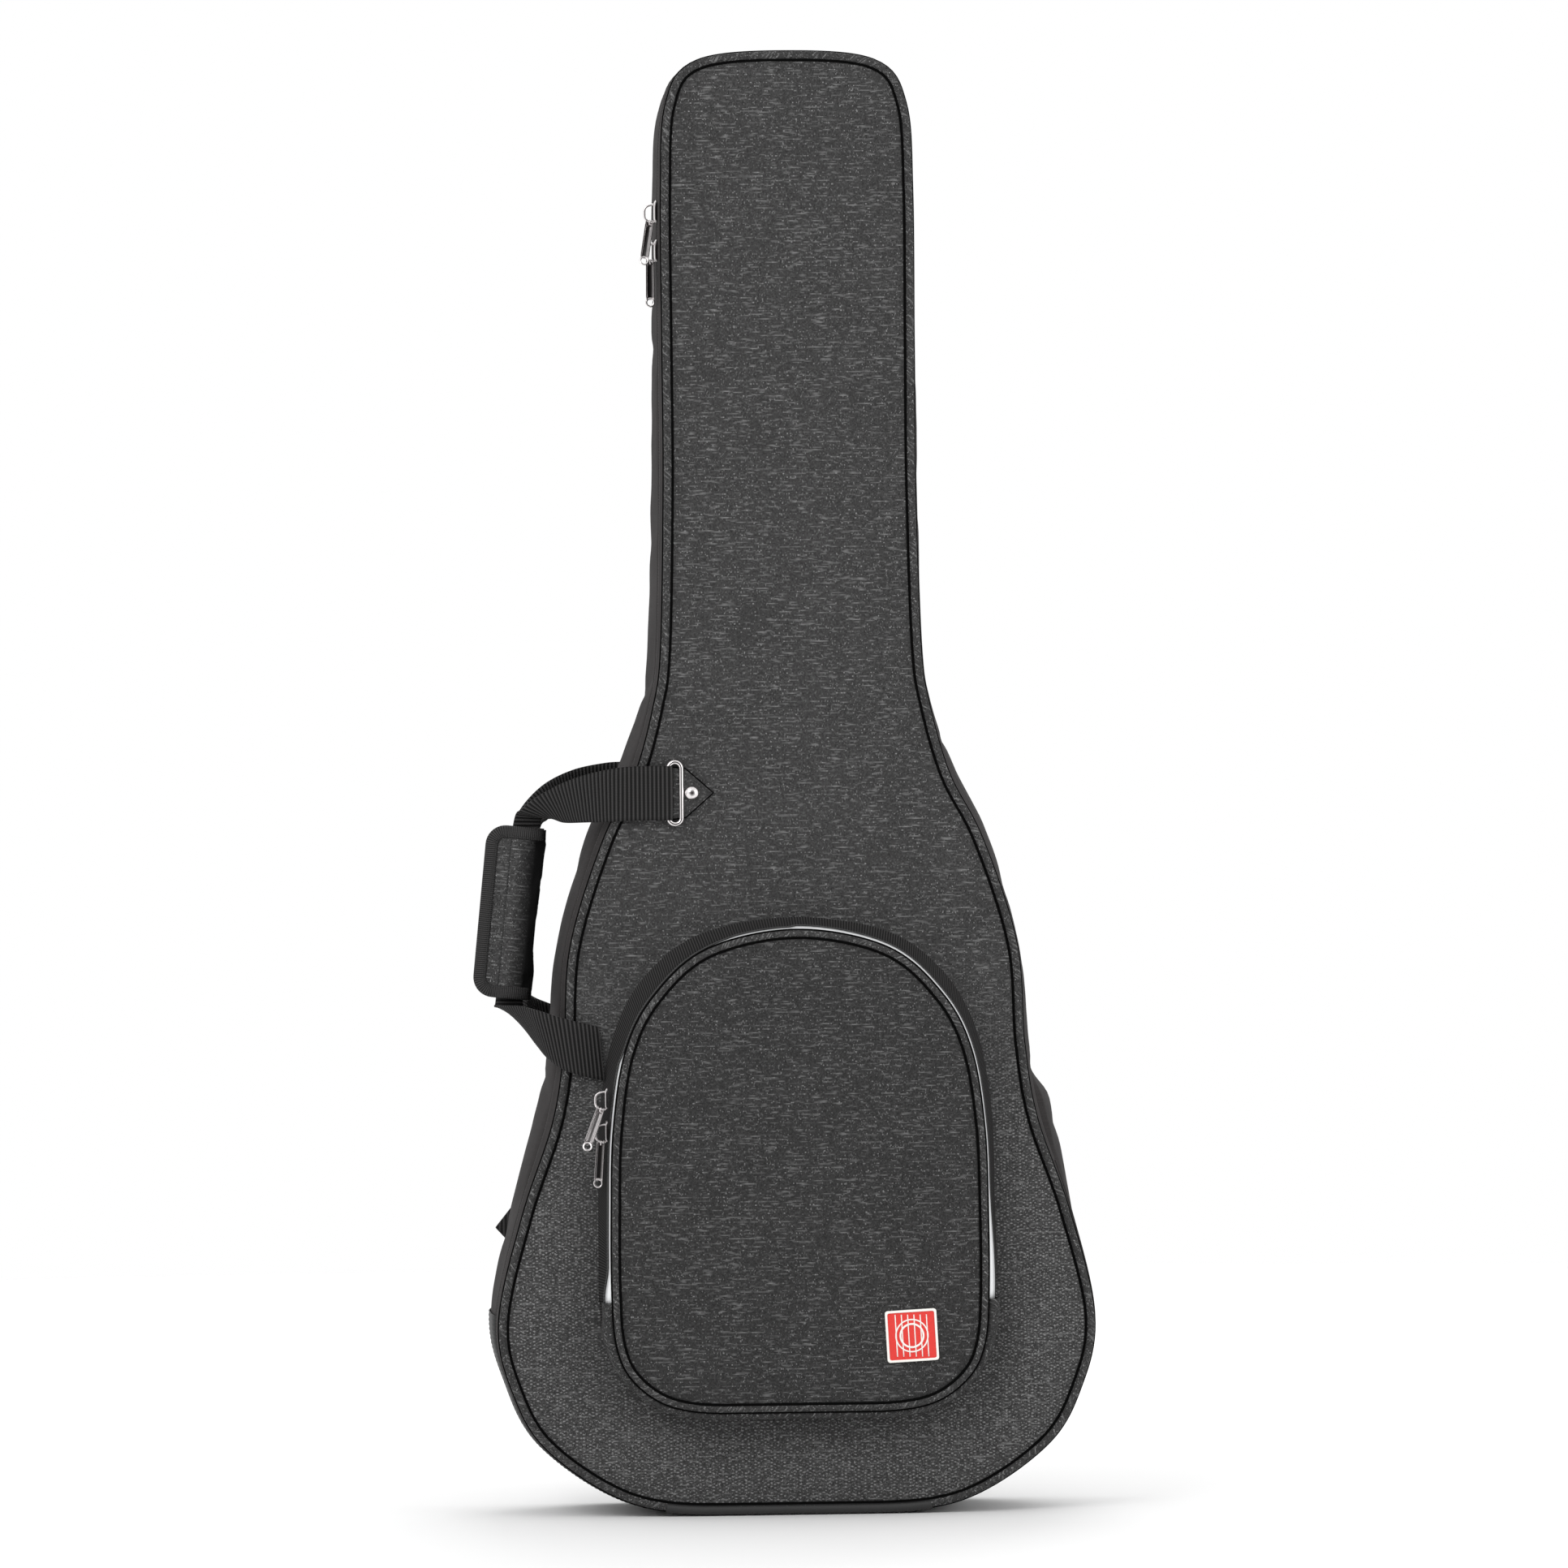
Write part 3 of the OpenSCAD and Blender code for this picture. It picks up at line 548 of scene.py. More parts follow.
def prism(name, shape, y0, y1, material, bevel, holes=()):
    """A flat shape in X and Z made solid from y0 to y1, with its edges rounded."""
    work = bmesh.new()
    edges = []
    for loop in (shape, *holes):
        ring = [work.verts.new((x * MM, y0 * MM, z * MM)) for x, z in loop]
        edges += [work.edges.new((a, b)) for a, b in zip(ring, ring[1:] + ring[:1])]
    bmesh.ops.triangle_fill(work, edges=edges, use_beauty=True)
    extruded = bmesh.ops.extrude_face_region(work, geom=work.faces[:])
    moved = [v for v in extruded["geom"] if isinstance(v, bmesh.types.BMVert)]
    bmesh.ops.translate(work, verts=moved, vec=(0, (y1 - y0) * MM, 0))
    bmesh.ops.recalc_face_normals(work, faces=work.faces)
    mesh = bpy.data.meshes.new(name)
    work.to_mesh(mesh)
    work.free()
    co = np.array([mesh.vertices[loop.vertex_index].co for loop in mesh.loops])
    obj = show(name, mesh, material, co[:, [0, 2]])
    rounding = obj.modifiers.new("rounding", "BEVEL")
    rounding.width = bevel * MM
    rounding.segments = 3
    rounding.limit_method = "ANGLE"
    rounding.angle_limit = math.radians(40)
    return obj


def rolling(points, scale, seed):
    """Smooth noise from -1 to 1 at each point."""
    flat = points.reshape(-1, 3) / scale
    shift = Vector((seed * 13.7, seed * 7.1, seed * 3.3))
    values = [noise.noise(Vector(p) + shift) for p in flat]
    return np.array(values).reshape(points.shape[:-1])


SETTLING_FRAMES = 20


def mesh_co(obj):
    """A mesh's points in metres."""
    return np.array([v.co for v in obj.data.vertices])


def settle(obj, held, limit, pressure, slack):
    """Fills a padded piece out under pressure, held at its seams, no point moving past limit.

    held is a weight for each point, in the order of the mesh, and slack is how much the cloth
    may grow. Thickness is left off while it settles."""
    scene = bpy.context.scene
    group = obj.vertex_groups.new(name="seams")
    for index, weight in enumerate(held):
        group.add([index], float(weight), "REPLACE")
    thickness = list(obj.modifiers)
    for modifier in thickness:
        modifier.show_viewport = False
    cloth = obj.modifiers.new("cloth", "CLOTH")
    cloth.settings.quality = 6
    cloth.settings.mass = 0.25
    cloth.settings.vertex_group_mass = "seams"
    cloth.settings.use_pressure = True
    cloth.settings.uniform_pressure_force = pressure
    cloth.settings.shrink_min = -slack
    cloth.settings.effector_weights.gravity = 0
    cloth.point_cache.frame_start = 1
    cloth.point_cache.frame_end = SETTLING_FRAMES
    for frame_number in range(1, SETTLING_FRAMES + 1):
        scene.frame_set(frame_number)
    before = mesh_co(obj)
    moved = mesh_co(obj.evaluated_get(bpy.context.evaluated_depsgraph_get())) - before
    length = np.linalg.norm(moved, axis=1)[:, None]
    moved *= np.minimum(1, limit * MM / np.maximum(length, 1e-9))
    obj.modifiers.remove(cloth)
    obj.data.vertices.foreach_set("co", (before + moved).ravel())
    obj.data.update()
    for modifier in thickness:
        modifier.show_viewport = True
    scene.frame_set(1)


def mesh_points(obj):
    """A mesh's points in millimetres."""
    return mesh_co(obj) / MM


def away_from(obj, x, z):
    """How far each of a mesh's points is from a place, seen from the front."""
    return np.linalg.norm(mesh_points(obj)[:, [0, 2]] - [x, z], axis=1)


def stand_for(obj, *nodes):
    """Hides the CAD nodes that a piece stands for."""
    if nodes:
        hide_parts(*nodes)


def put(obj, body, *nodes):
    """What nearly every piece needs: its body and the nodes that it stands for."""
    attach(obj, body)
    stand_for(obj, *nodes)


# ---- Panels -------------------------------------------------------------------------------------


def distance_to(path, points):
    """Shortest distance from each point to an outline's points."""
    return np.linalg.norm(points[:, None] - path[None], axis=2).min(1)


def rings_inwards(border, insets, spine, count):
    """Closed rings from a border inwards; the last lies on the panel's middle line."""
    middle = np.stack([np.zeros(len(border)), np.clip(border[:, 1], *spine)], 1)
    rings = [outset(border, -inset) for inset in insets]
    rings += [mix(rings[-1], middle, share) for share in np.linspace(0, 1, count + 1)[1:]]
    return np.array(rings)


def crowned(rings, border, rise, reach):
    """How far a padded panel stands out at each point: quickly at its seam, then slowly."""
    away = np.array([distance_to(border, ring) for ring in rings])
    away[0] = 0
    return sum(r * (1 - np.exp(-away / k)) for r, k in zip(rise, reach)), away


INSETS = (0, 0.8, 1.8, 3.2, 5, 8, 12, 17)
PANEL_SPINE = (150, 985)
RING_X, RING_Z = -87.0, 532.0


def panel(name, border, face, outwards, rise, reach, lump, seed, material):
    """A crowned cloth panel sewn in at its border. face gives the depth at a height."""
    rings = rings_inwards(border, INSETS, PANEL_SPINE, 16)
    stand, away = crowned(rings, border, rise, reach)
    flat = np.stack([rings[..., 0], np.zeros(rings.shape[:2]), rings[..., 1]], 2)
    fade = smooth_step(0, 40, away)
    lumps = lump * fade * (rolling(flat, 150, seed) + 0.45 * rolling(flat, 48, seed + 1))
    flat[..., 1] = face(rings[..., 1]) + outwards * (stand + lumps)
    return surface(name, flat, material, wrap_cols=True, uv=rings, merge=True, thick=1.2)


front_panel = panel("front_panel", seam, lambda z: FRONT_Y + 2.2, -1,
                    (2.6, 1.4), (2.2, 45), 0.8, 3, HEATHER)
put(front_panel, "lid", "front_cover", "front_foam")


def hold_border(obj, border, width):
    """Full hold on a panel's sewn border, none past a width from it."""
    near = distance_to(border, mesh_points(obj)[:, [0, 2]])
    return smooth_step(width, 1.5, near)


held = np.maximum(hold_border(front_panel, seam, 9),
                  smooth_step(50, 34, away_from(front_panel, RING_X + 4, RING_Z)))
settle(front_panel, held, 2.0, 1.2, 0.004)

back_panel = panel("back_panel", seam, lambda z: back_face(z) - 2.2, 1,
                   (3.0, 0.8), (2.2, 45), 0.5, 11, SIDE_CLOTH)
put(back_panel, "case", "back_cover", "back_foam")


def piping(name, path, y, radius=2.9):
    """Cloth-covered cord round a seam, with a near-black tube on its inner side as painted shadow
    in the gap.
    """
    cord = tube(name, at_depth(outset(path, radius), y), radius, HEATHER_PIPING, closed=True,
                sides=14)
    # Painted shadow: a near-black tube in the gap on the piping's inner side
    groove = tube(name + "_shadow_line", at_depth(outset(path, -0.5), y - 0.2), 1.15, SEAM_SHADOW,
                  closed=True, sides=8)
    return cord, groove


front_cord, front_shadow_line = piping("front_piping_cord", seam, FRONT_Y + 0.2)
# Painted shadow: a near-black tube along the front piping's outer side, where the rim cloth meets
# it
outer_shadow_line = tube("front_piping_outer_shadow_line", at_depth(outset(seam, 6.0), FRONT_Y + 1.9), 0.7,
                  SEAM_SHADOW, closed=True, sides=8)
back_cord, back_shadow_line = piping("back_piping_cord", seam, back_face(seam[:, 1]) - 0.4)
put(front_cord, "lid", "front_piping")
put(front_shadow_line, "lid")
put(outer_shadow_line, "lid")
put(back_cord, "case", "back_piping")
put(back_shadow_line, "case")

# ---- Side walls, zip and guard ------------------------------------------------------------------


def bulge(depth_share):
    """How much the wall swells, 0 to 1, from its front seam at 0 to its back seam at 1."""
    return np.sin(np.pi * np.clip(depth_share, 0, 1)) ** 1.3


# Creases across the gusset: side, height, depth, half width, lean, all in millimetres
CREASES = [(1, 909, 2.6, 7, 0.15), (1, 608, 3.0, 6, -0.2), (1, 575, 2.6, 6, 0.25),
           (1, 322, 2.4, 7, -0.3), (1, 285, 1.8, 9, 0.5), (-1, 861, 1.8, 8, 0.2),
           (-1, 610, 3.0, 7, -0.25), (-1, 319, 2.2, 7, 0.3), (1, 760, 1.2, 14, 0.3),
           (-1, 720, 1.2, 12, -0.3), (-1, 906, 1.5, 15, 0.1), (-1, 470, 1.5, 10, 0.3),
           (1, 455, 1.4, 11, -0.3), (1, 200, 1.2, 10, 0.4), (-1, 215, 1.2, 10, -0.4)]


def crease_depth(path, y):
    """How far the gusset's creases pull it in at each point of one ring."""
    pulled = np.zeros(len(path))
    for side, height, depth, width, lean in CREASES:
        off = path[:, 1] - height - lean * y
        pulled += depth * np.exp(-(off / width) ** 2) * (path[:, 0] * side > 20)
    return pulled


def gusset_ring(y):
    """One ring of the outer wall at a depth, with its bulge, creases and soft waves."""
    free = bulge((y - FRONT_Y) / (back_face(edge[:, 1]) - FRONT_Y))
    path = mix(edge, wall, free[:, None])
    flat = at_depth(path, y)
    waves = 0.9 * rolling(flat, 42, 5) + 0.35 * rolling(flat, 16, 6)
    pillow = 6.8 * smooth_step(325, 300, path[:, 1]) * smooth_step(205, 290, path[:, 1])
    waves += np.where(path[:, 0] > 0, pillow, 0)
    return at_depth(outset(path, free * (waves - crease_depth(path, y))), y)


gusset_rings = [at_depth(outset(parting, -0.5), PARTING_Y + 5.2),
                at_depth(outset(parting, 0.7), PARTING_Y + 4.6),
                at_depth(outset(parting, 1.0), PARTING_Y + 5.6)]
for share in np.linspace(0, 1, 26)[1:]:
    gusset_rings.append(gusset_ring(mix(PARTING_Y + 5.8, back_face(edge[:, 1]) - 2.5, share)))
gusset = surface("gusset_cloth", np.array(gusset_rings), SIDE_CLOTH, wrap_cols=True, thick=1.2)
put(gusset, "case", "wall_cover", "wall_foam_left", "wall_foam_right")

rim_rows = [(0.0, -0.6, FRONT_Y + 1.0), (0.0, 0.2, FRONT_Y + 3.5), (0.35, 0.5, FRONT_Y + 8),
            (0.7, 0.6, FRONT_Y + 13), (1.0, 0.9, PARTING_Y - 5.8), (1.0, 0.8, PARTING_Y - 4.7),
            (1.0, -0.4, PARTING_Y - 5.0)]
rim = surface("rim_cloth", np.array([at_depth(outset(mix(edge, parting, share), out), y)
                                     for share, out, y in rim_rows]),
              SIDE_CLOTH, wrap_cols=True, thick=1.0)
put(rim, "lid", "rim_cover", "rim_foam")


def coil(name, ring, pitch, shift, middle_z, size, closed=False):
    """A zip's row of teeth along a path, moved on by a shift, standing away from a middle."""
    place, along = resample(ring, pitch, closed)
    place = place + along * shift
    out = np.cross(along, [0, 1, 0])
    out *= np.sign((out * (place - [0, 0, middle_z])).sum(1))[:, None]
    return blocks(name, place, along, out, size, ZIP_COIL)


def zip_half(name, path, y, side, body, *nodes):
    """A zip tape with its row of coil teeth, on the side of the parting that side points to."""
    rings = [at_depth(outset(path, -0.5), y + side * away) for away in (5.6, 3.2, 0.7)]
    tape = surface(name, np.array(rings), ZIP_TAPE, wrap_cols=True, thick=0.5)
    put(tape, body, *nodes)
    ring = at_depth(outset(path, -0.3), y + side * 1.15)
    put(coil(name + "_teeth", ring, 2.2, 1.1 * (side > 0), 450, (1.3, 2.0, 1.5), closed=True), body)


zip_half("case_zip_tape", parting, PARTING_Y, 1, "case", "case_zip")
zip_half("lid_zip_tape", parting, PARTING_Y, -1, "lid", "lid_zip")


def ribbed_strip(name, path, rows, keep, body, node):
    """Ribbed rubber strip along part of an outline. rows are [outset, y, rib height]."""
    place, _ = resample(at_depth(path, 0), 0.85, closed=True)
    fine = place[:, [0, 2]]
    fine = fine[part_of_ring(fine, keep)]
    beyond = np.vstack([2 * fine[0] - fine[1], fine, 2 * fine[-1] - fine[-2]])
    normal = outset(beyond, 1)[1:-1] - fine
    ribs = 0.5 + 0.5 * np.cos(2 * np.pi * np.arange(len(fine)) / 4)
    grid = [at_depth(fine + (out + rib * ribs)[:, None] * normal, y) for out, y, rib in rows]
    put(surface(name, np.array(grid), RUBBER, thick=0.9), body, node)


def part_of_ring(path, keep):
    """Indices of the one stretch of a closed outline that keep says to keep, in order."""
    kept = keep(path)
    first = int(np.argmax(kept & ~np.roll(kept, 1)))
    return (first + np.arange(int(kept.sum()))) % len(path)


# The front strip takes the piping's place under the front, where |x| is below 98
ribbed_strip("rim_guard_strip", seam,
             [(0.4, FRONT_Y - 0.6, 0), (1.4, FRONT_Y - 2.2, 0.45), (4.4, FRONT_Y - 2.4, 0.45),
              (6.2, FRONT_Y - 0.8, 0.45), (6.7, FRONT_Y + 3, 0.45), (6.8, PARTING_Y - 5, 0.45)],
             lambda p: (abs(p[:, 0]) < 98) & (p[:, 1] < 60), "lid", "rim_guard")
ribbed_strip("bottom_guard_strip", wall,
             [(-1.6, PARTING_Y + 5, 0), (0.3, PARTING_Y + 7, 0.45), (1.2, -25, 0.45),
              (1.4, 0, 0.45), (1.0, 30, 0.45), (-1.2, 58, 0.45), (-4.2, 69, 0)],
             lambda p: p[:, 1] < 148, "case", "bottom_guard")

# ---- Inside -------------------------------------------------------------------------------------


def tray(name, wall_rows, floor_border, floor_y, body, *nodes):
    """Lining over the padding: rings down a wall, then a flat floor to the middle line."""
    rings = [at_depth(outset(path, out), y) for path, out, y in wall_rows]
    rings += [at_depth(ring, floor_y(ring[:, 1]))
              for ring in rings_inwards(floor_border, (0, 3, 8), PANEL_SPINE, 8)]
    put(surface(name, np.array(rings), LINING, wrap_cols=True, merge=True, thick=0.8), body, *nodes)


tray("case_lining_cloth",
     [(parting, -1.4, PARTING_Y + 4.5), (parting, -3, PARTING_Y + 1.2),
      (parting, -11, PARTING_Y + 0.8), (parting, -13.2, PARTING_Y + 3), (wall, -14.5, -20),
      (wall, -14.5, 5), (wall, -15.5, 25), (seam, -9, back_face(seam[:, 1]) - 24)],
     outset(seam, -13), lambda z: back_face(z) - 16.5,
     "case", "case_lining")
tray("lid_lining_cloth",
     [(parting, -1.4, PARTING_Y - 4.5), (parting, -3, PARTING_Y - 1.2),
      (parting, -10.5, PARTING_Y - 0.8), (parting, -12.6, PARTING_Y - 2.4)],
     outset(seam, -9.5), lambda z: FRONT_Y + 15, "lid", "lid_lining")

# ---- Pocket -------------------------------------------------------------------------------------

BADGE_CENTRE = (81, 133)
ZIP_END_Z = 154.0
POCKET_PIPING_WIDTH = 4.9
pocket_edge = outset(pocket_seam, POCKET_PIPING_WIDTH)


def fold_with_door(obj, *nodes):
    """Hides the CAD nodes that a piece of the pocket stands for, and bakes its place into its mesh.
    """
    stand_for(obj, *nodes)
    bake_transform(obj)


rings = rings_inwards(pocket_seam, INSETS, (150, 345), 12)
stand, away = crowned(rings, pocket_seam, (2.3, 2.0), (1.8, 30))
face = np.stack([rings[..., 0], POCKET_Y + 2.6 - stand, rings[..., 1]], 2)
face[..., 1] -= 0.8 * smooth_step(0, 30, away) * rolling(face * [1, 0, 1], 70, 21)
lining = np.stack([rings[..., 0], np.full(rings.shape[:2], POCKET_Y + 7.5), rings[..., 1]], 2)
lining[0, :, 1] = POCKET_Y + 5
pocket_front = surface("pocket_front", np.concatenate([face[::-1], lining[1:]]), HEATHER_POCKET,
                       wrap_cols=True, uv=np.concatenate([rings[::-1], rings[1:]]), merge=True)
held = np.maximum(hold_border(pocket_front, pocket_seam, 8),
                  smooth_step(34, 26, away_from(pocket_front, *BADGE_CENTRE)))
held = np.maximum(held, mesh_points(pocket_front)[:, 1] > POCKET_Y + 5)
settle(pocket_front, held, 2.0, 2.0, 0.004)
fold_with_door(pocket_front, "pocket_cover", "pocket_foam")
# The pocket's piping gets a painted-shadow tube on its inner side from piping()
pocket_cord, pocket_shadow_line = piping("pocket_piping_cord", pocket_seam, POCKET_Y + 0.9, 2.4)
fold_with_door(pocket_cord, "pocket_piping")
fold_with_door(pocket_shadow_line)
# Painted shadow: a near-black tube along the outer side of the pocket's piping
fold_with_door(tube("pocket_piping_outer_shadow_line",
                    at_depth(outset(pocket_seam, 5.2), POCKET_Y + 1.9), 0.9, SEAM_SHADOW, closed=True,
                    sides=8))


def strip_width(path):
    """In-plane width of the reflective strip: thin over the arch, wide at the lower sides.

    On the left it stays thin down to the end of the sliders' run."""
    arch = mix(2.4, 0.1, smooth_step(-20, -75, path[:, 0]) * smooth_step(325, 345, path[:, 1]))
    arch = np.where(path[:, 0] < 0, np.minimum(arch, 1.5), arch)
    left = mix(arch, 4.9, smooth_step(186, 160, path[:, 1]))
    right = mix(arch, 5.4, smooth_step(250, 165, path[:, 1]))
    return np.where(path[:, 0] < 0, left, right)


above = part_of_ring(pocket_edge, lambda p: p[:, 1] > ZIP_END_Z)
below = part_of_ring(pocket_edge, lambda p: p[:, 1] < ZIP_END_Z + 7)
zip_line = outset(pocket_edge, strip_width(pocket_edge) + 0.1)


def pocket_strip(name, rows, chosen, material, thick):
    """A strip along part of the pocket's edge. rows are [path, depth]."""
    rows = np.array([at_depth(path, y)[chosen] for path, y in rows])
    return surface(name, rows, material, thick=thick)


def pocket_teeth(name, side):
    """One row of the pocket zip's coil, in front of (side -1) or behind its parting."""
    ring = at_depth(outset(zip_line, 0.1), POCKET_ZIP_Y + side)[above]
    return coil(name, ring, 2.4, 1.0 * (side > 0), 260, (1.3, 1.8, 1.3))


strip = strip_width(pocket_edge)
reflector_rows = [(outset(pocket_edge, -0.3), POCKET_Y + 4),
                  (outset(pocket_edge, 0.6 * strip), POCKET_Y + 7), (zip_line, POCKET_ZIP_Y - 5)]
fold_with_door(pocket_strip("reflective_band", reflector_rows, above, REFLECTIVE, 0.5),
               "reflective_strip")
tape_rows = [(outset(zip_line, out), POCKET_ZIP_Y - away)
             for out, away in ((-0.3, 5.2), (0.5, 3), (0.4, 0.6))]
fold_with_door(pocket_strip("pocket_zip_tape_upper", tape_rows, above, ZIP_TAPE, 0.5),
               "pocket_upper_zip")
wall_rows = [(outset(zip_line, 0.4), POCKET_ZIP_Y + 0.6),
             (outset(zip_line, 0.6), POCKET_ZIP_Y + 3.5)]
wall_rows += [(mix(zip_line, pocket_foot, share), y)
              for share, y in ((0.30, POCKET_ZIP_Y + 8), (0.62, POCKET_ZIP_Y + 15),
                               (0.95, FRONT_Y - 2.6))]
wall_rows.append((outset(pocket_foot, 1.5), FRONT_Y - 2.2))
put(pocket_strip("pocket_wall_tape", wall_rows, above, RIBBED_TAPE, 0.7), "lid", "pocket_band",
    "pocket_lower_zip")
fold_with_door(pocket_teeth("pocket_zip_teeth_upper", -1))
put(pocket_teeth("pocket_zip_teeth_lower", 1), "lid")

# The left end stays back a little, so that a pull hanging from the lowest slider clears it
ridge = 5.2 + 4.0 * smooth_step(100, 152, pocket_edge[:, 1])
ridge -= np.where(pocket_edge[:, 0] < 0, 2.6 * smooth_step(136, 150, pocket_edge[:, 1]), 0)
lower_rows = [(0.8, 6.0), (1.2, 3.6), (0.55 * ridge, 4.4), (0.85 * ridge, 7.6), (ridge, 13),
              (ridge + 0.2, 20), (ridge - 0.4, 26)]
lower_rows = [(outset(pocket_edge, out), POCKET_Y + away) for out, away in lower_rows]
put(pocket_strip("pocket_lower_gusset", lower_rows, below, HEATHER_PIPING, 1.2), "lid",
    "pocket_lower_front")
tape_edge = outset(pocket_edge, ridge - 1)
foot = mix(outset(pocket_edge, ridge - 1.5), pocket_foot,
           0.9 * smooth_step(70, 120, pocket_edge[:, 1])[:, None])
foot_rows = [(tape_edge, POCKET_Y + 25), (mix(tape_edge, foot, 0.4), POCKET_Y + 32),
             (mix(tape_edge, foot, 0.9), FRONT_Y - 3), (outset(foot, 1.5), FRONT_Y - 2.2)]
put(pocket_strip("pocket_foot_tape", foot_rows, below, RIBBED_TAPE, 0.8), "lid", "pocket_wall")

# ---- Badge: a plain sound hole and strings ------------------------------------------------------


def turned_square(size, corner):
    """A square with rounded corners, turned a little, round the badge's centre."""
    reach = size / 2 - corner
    turn = math.radians(-3)
    shape = []
    for k, (sx, sz) in enumerate(((1, 1), (-1, 1), (-1, -1), (1, -1))):
        for t in np.linspace(0, math.pi / 2, 6):
            angle = t + k * math.pi / 2
            x = sx * reach + corner * math.cos(angle)
            z = sz * reach + corner * math.sin(angle)
            shape.append((BADGE_CENTRE[0] + x * math.cos(turn) + z * math.sin(turn),
                          BADGE_CENTRE[1] - x * math.sin(turn) + z * math.cos(turn)))
    return shape


badge_y = POCKET_Y - 3.9
put(prism("badge_rim", turned_square(38, 2.2), badge_y, badge_y + 3.2, BADGE_WHITE, 0.5,
          holes=[turned_square(34.4, 1.4)]), "lid", "badge_frame")
put(prism("badge_plate", turned_square(34.6, 1.4), badge_y + 0.9, badge_y + 2.6, BADGE_RED, 0.2),
    "lid", "badge_enamel")

for name, radius, wire in (("badge_sound_hole", 8.5, 0.75), ("badge_rosette", 11.8, 0.55)):
    ring = circle((BADGE_CENTRE[0], badge_y + 0.9, BADGE_CENTRE[1]), radius)
    put(tube(name, ring, wire, BADGE_WHITE, closed=True, sides=8), "lid")
for k in range(6):
    string_x = BADGE_CENTRE[0] + (k - 2.5) * 4.6
    ends = [[string_x + 0.8, badge_y + 0.9, BADGE_CENTRE[1] - 15.4],
            [string_x - 0.8, badge_y + 0.9, BADGE_CENTRE[1] + 15.4]]
    put(tube(f"badge_string_{k + 1}", np.linspace(*ends, 8), 0.45, BADGE_WHITE, sides=6), "lid")

# ---- Carry handle -------------------------------------------------------------------------------


def oblong(centre, half_width, half_height, count=14):
    """A closed path with straight sides and round ends, in a plane square to Y."""
    x, y, z = centre
    reach = half_height - half_width
    top = [(x + half_width * math.cos(t), y, z + reach + half_width * math.sin(t))
           for t in np.linspace(0, math.pi, count)]
    return np.array(top + [(2 * x - a, y, 2 * z - c) for a, _, c in top])


def handle_fixing(end, face, out, body):
    """The stitched tab, oblong ring and domed rivet at one end of a handle loop."""
    tab = [(RING_X - 3, RING_Z + 19), (RING_X + 8, RING_Z + 17.5), (RING_X + 28, RING_Z),
           (RING_X + 8, RING_Z - 17.5), (RING_X - 3, RING_Z - 19)]
    put(prism(end + "_tab_cloth", tab, face - out * 3.0, face + out * 1.9, HEATHER, 0.5), body,
        end + "_tab")

    def tab_line(share, height):
        """The tab's outline, drawn in by a share towards the ring and put at a height."""
        return polyline([(mix(x, RING_X + 6, share), face + out * height,
                          mix(z, RING_Z, share * 1.4)) for x, z in tab], 8)

    put(stitches(end + "_tab_stitching", tab_line(0.10, 1.9), (0, out, 0), 3.0, 0.9), body)
    # Painted shadow: a thin near-black tube round the tab's outline stands in for the shade at its
    # edge
    put(tube(end + "_tab_edge_shadow", tab_line(-0.02, 1.6), 0.5, SEAM_SHADOW, sides=6), body)
    put(tube(end + "_ring_wire", oblong((RING_X, face + out * 3.2, RING_Z), 4.7, 22.9), 1.85,
             NICKEL, closed=True, sides=14), body, end + "_ring")
    dome = [(4.9, 0), (5.4, 1.0), (5.3, 2.0), (4.7, 3.2), (3.5, 4.1), (1.9, 4.7), (0.2, 4.9)]
    put(lathe(end + "_rivet_dome", dome, (RING_X + 12.5, face + out * 1.6, RING_Z), (0, out, 0),
              NICKEL), body, end + "_rivet")


handle_fixing("front_handle", FRONT_Y - 2.0, -1, "lid")
handle_fixing("rear_handle", BACK_Y + 2.0, 1, "case")


def ring_fold(z, depths):
    """The part of a loop's route that is folded round its ring, at one height and full width."""
    return [(x, y, z, 20, 0) for x, y in zip((-118, -97, -90.6, -89.0, -90.6, -97, -116), depths)]


# Each loop's route: places, then half its width along Z and along X
FRONT_ROUTE = ring_fold(532, (-75.4, -75.5, -75.6, -77.2, -79.0, -79.3, -78.6)) + [
    (-132, -76.5, 531, 19.5, 0), (-154, -62, 528, 17, 2), (-173, -42, 523, 12, 6),
    (-187, -26, 518, 4, 10), (-194, -14, 509, 0, 10), (-201.5, -14, 445, 0, 10),
    (-207.8, -14, 382, 0, 10), (-207, -21, 374, 2, 12), (-203, -34, 366, 10, 10),
    (-194, -54, 360, 16, 7), (-184, -72, 354, 19, 5), (-170, -80, 348, 20, 3),
    (-156, -80.5, 344, 20, 2), (-143, -78.5, 341, 20, 2)]
REAR_ROUTE = ring_fold(536, (78.6, 78.7, 78.6, 80.2, 82, 82.2, 80.5)) + [
    (-132, 78, 536, 19, 0), (-154, 64, 533, 17, 2), (-173, 42, 527, 12, 6),
    (-187, 22, 517, 4, 10), (-194, 7, 502, 0, 10), (-201.5, 7, 445, 0, 10),
    (-207, 7, 396, 0, 10), (-206, 16, 388, 4, 12), (-201, 34, 380, 13, 10),
    (-192, 56, 372, 18, 7), (-183, 72, 362, 19, 5), (-174, 79, 356, 20, 3),
    (-160, 79.5, 351, 20, 2), (-146, 77.5, 348, 20, 2)]
RIB_PITCH = 3.1


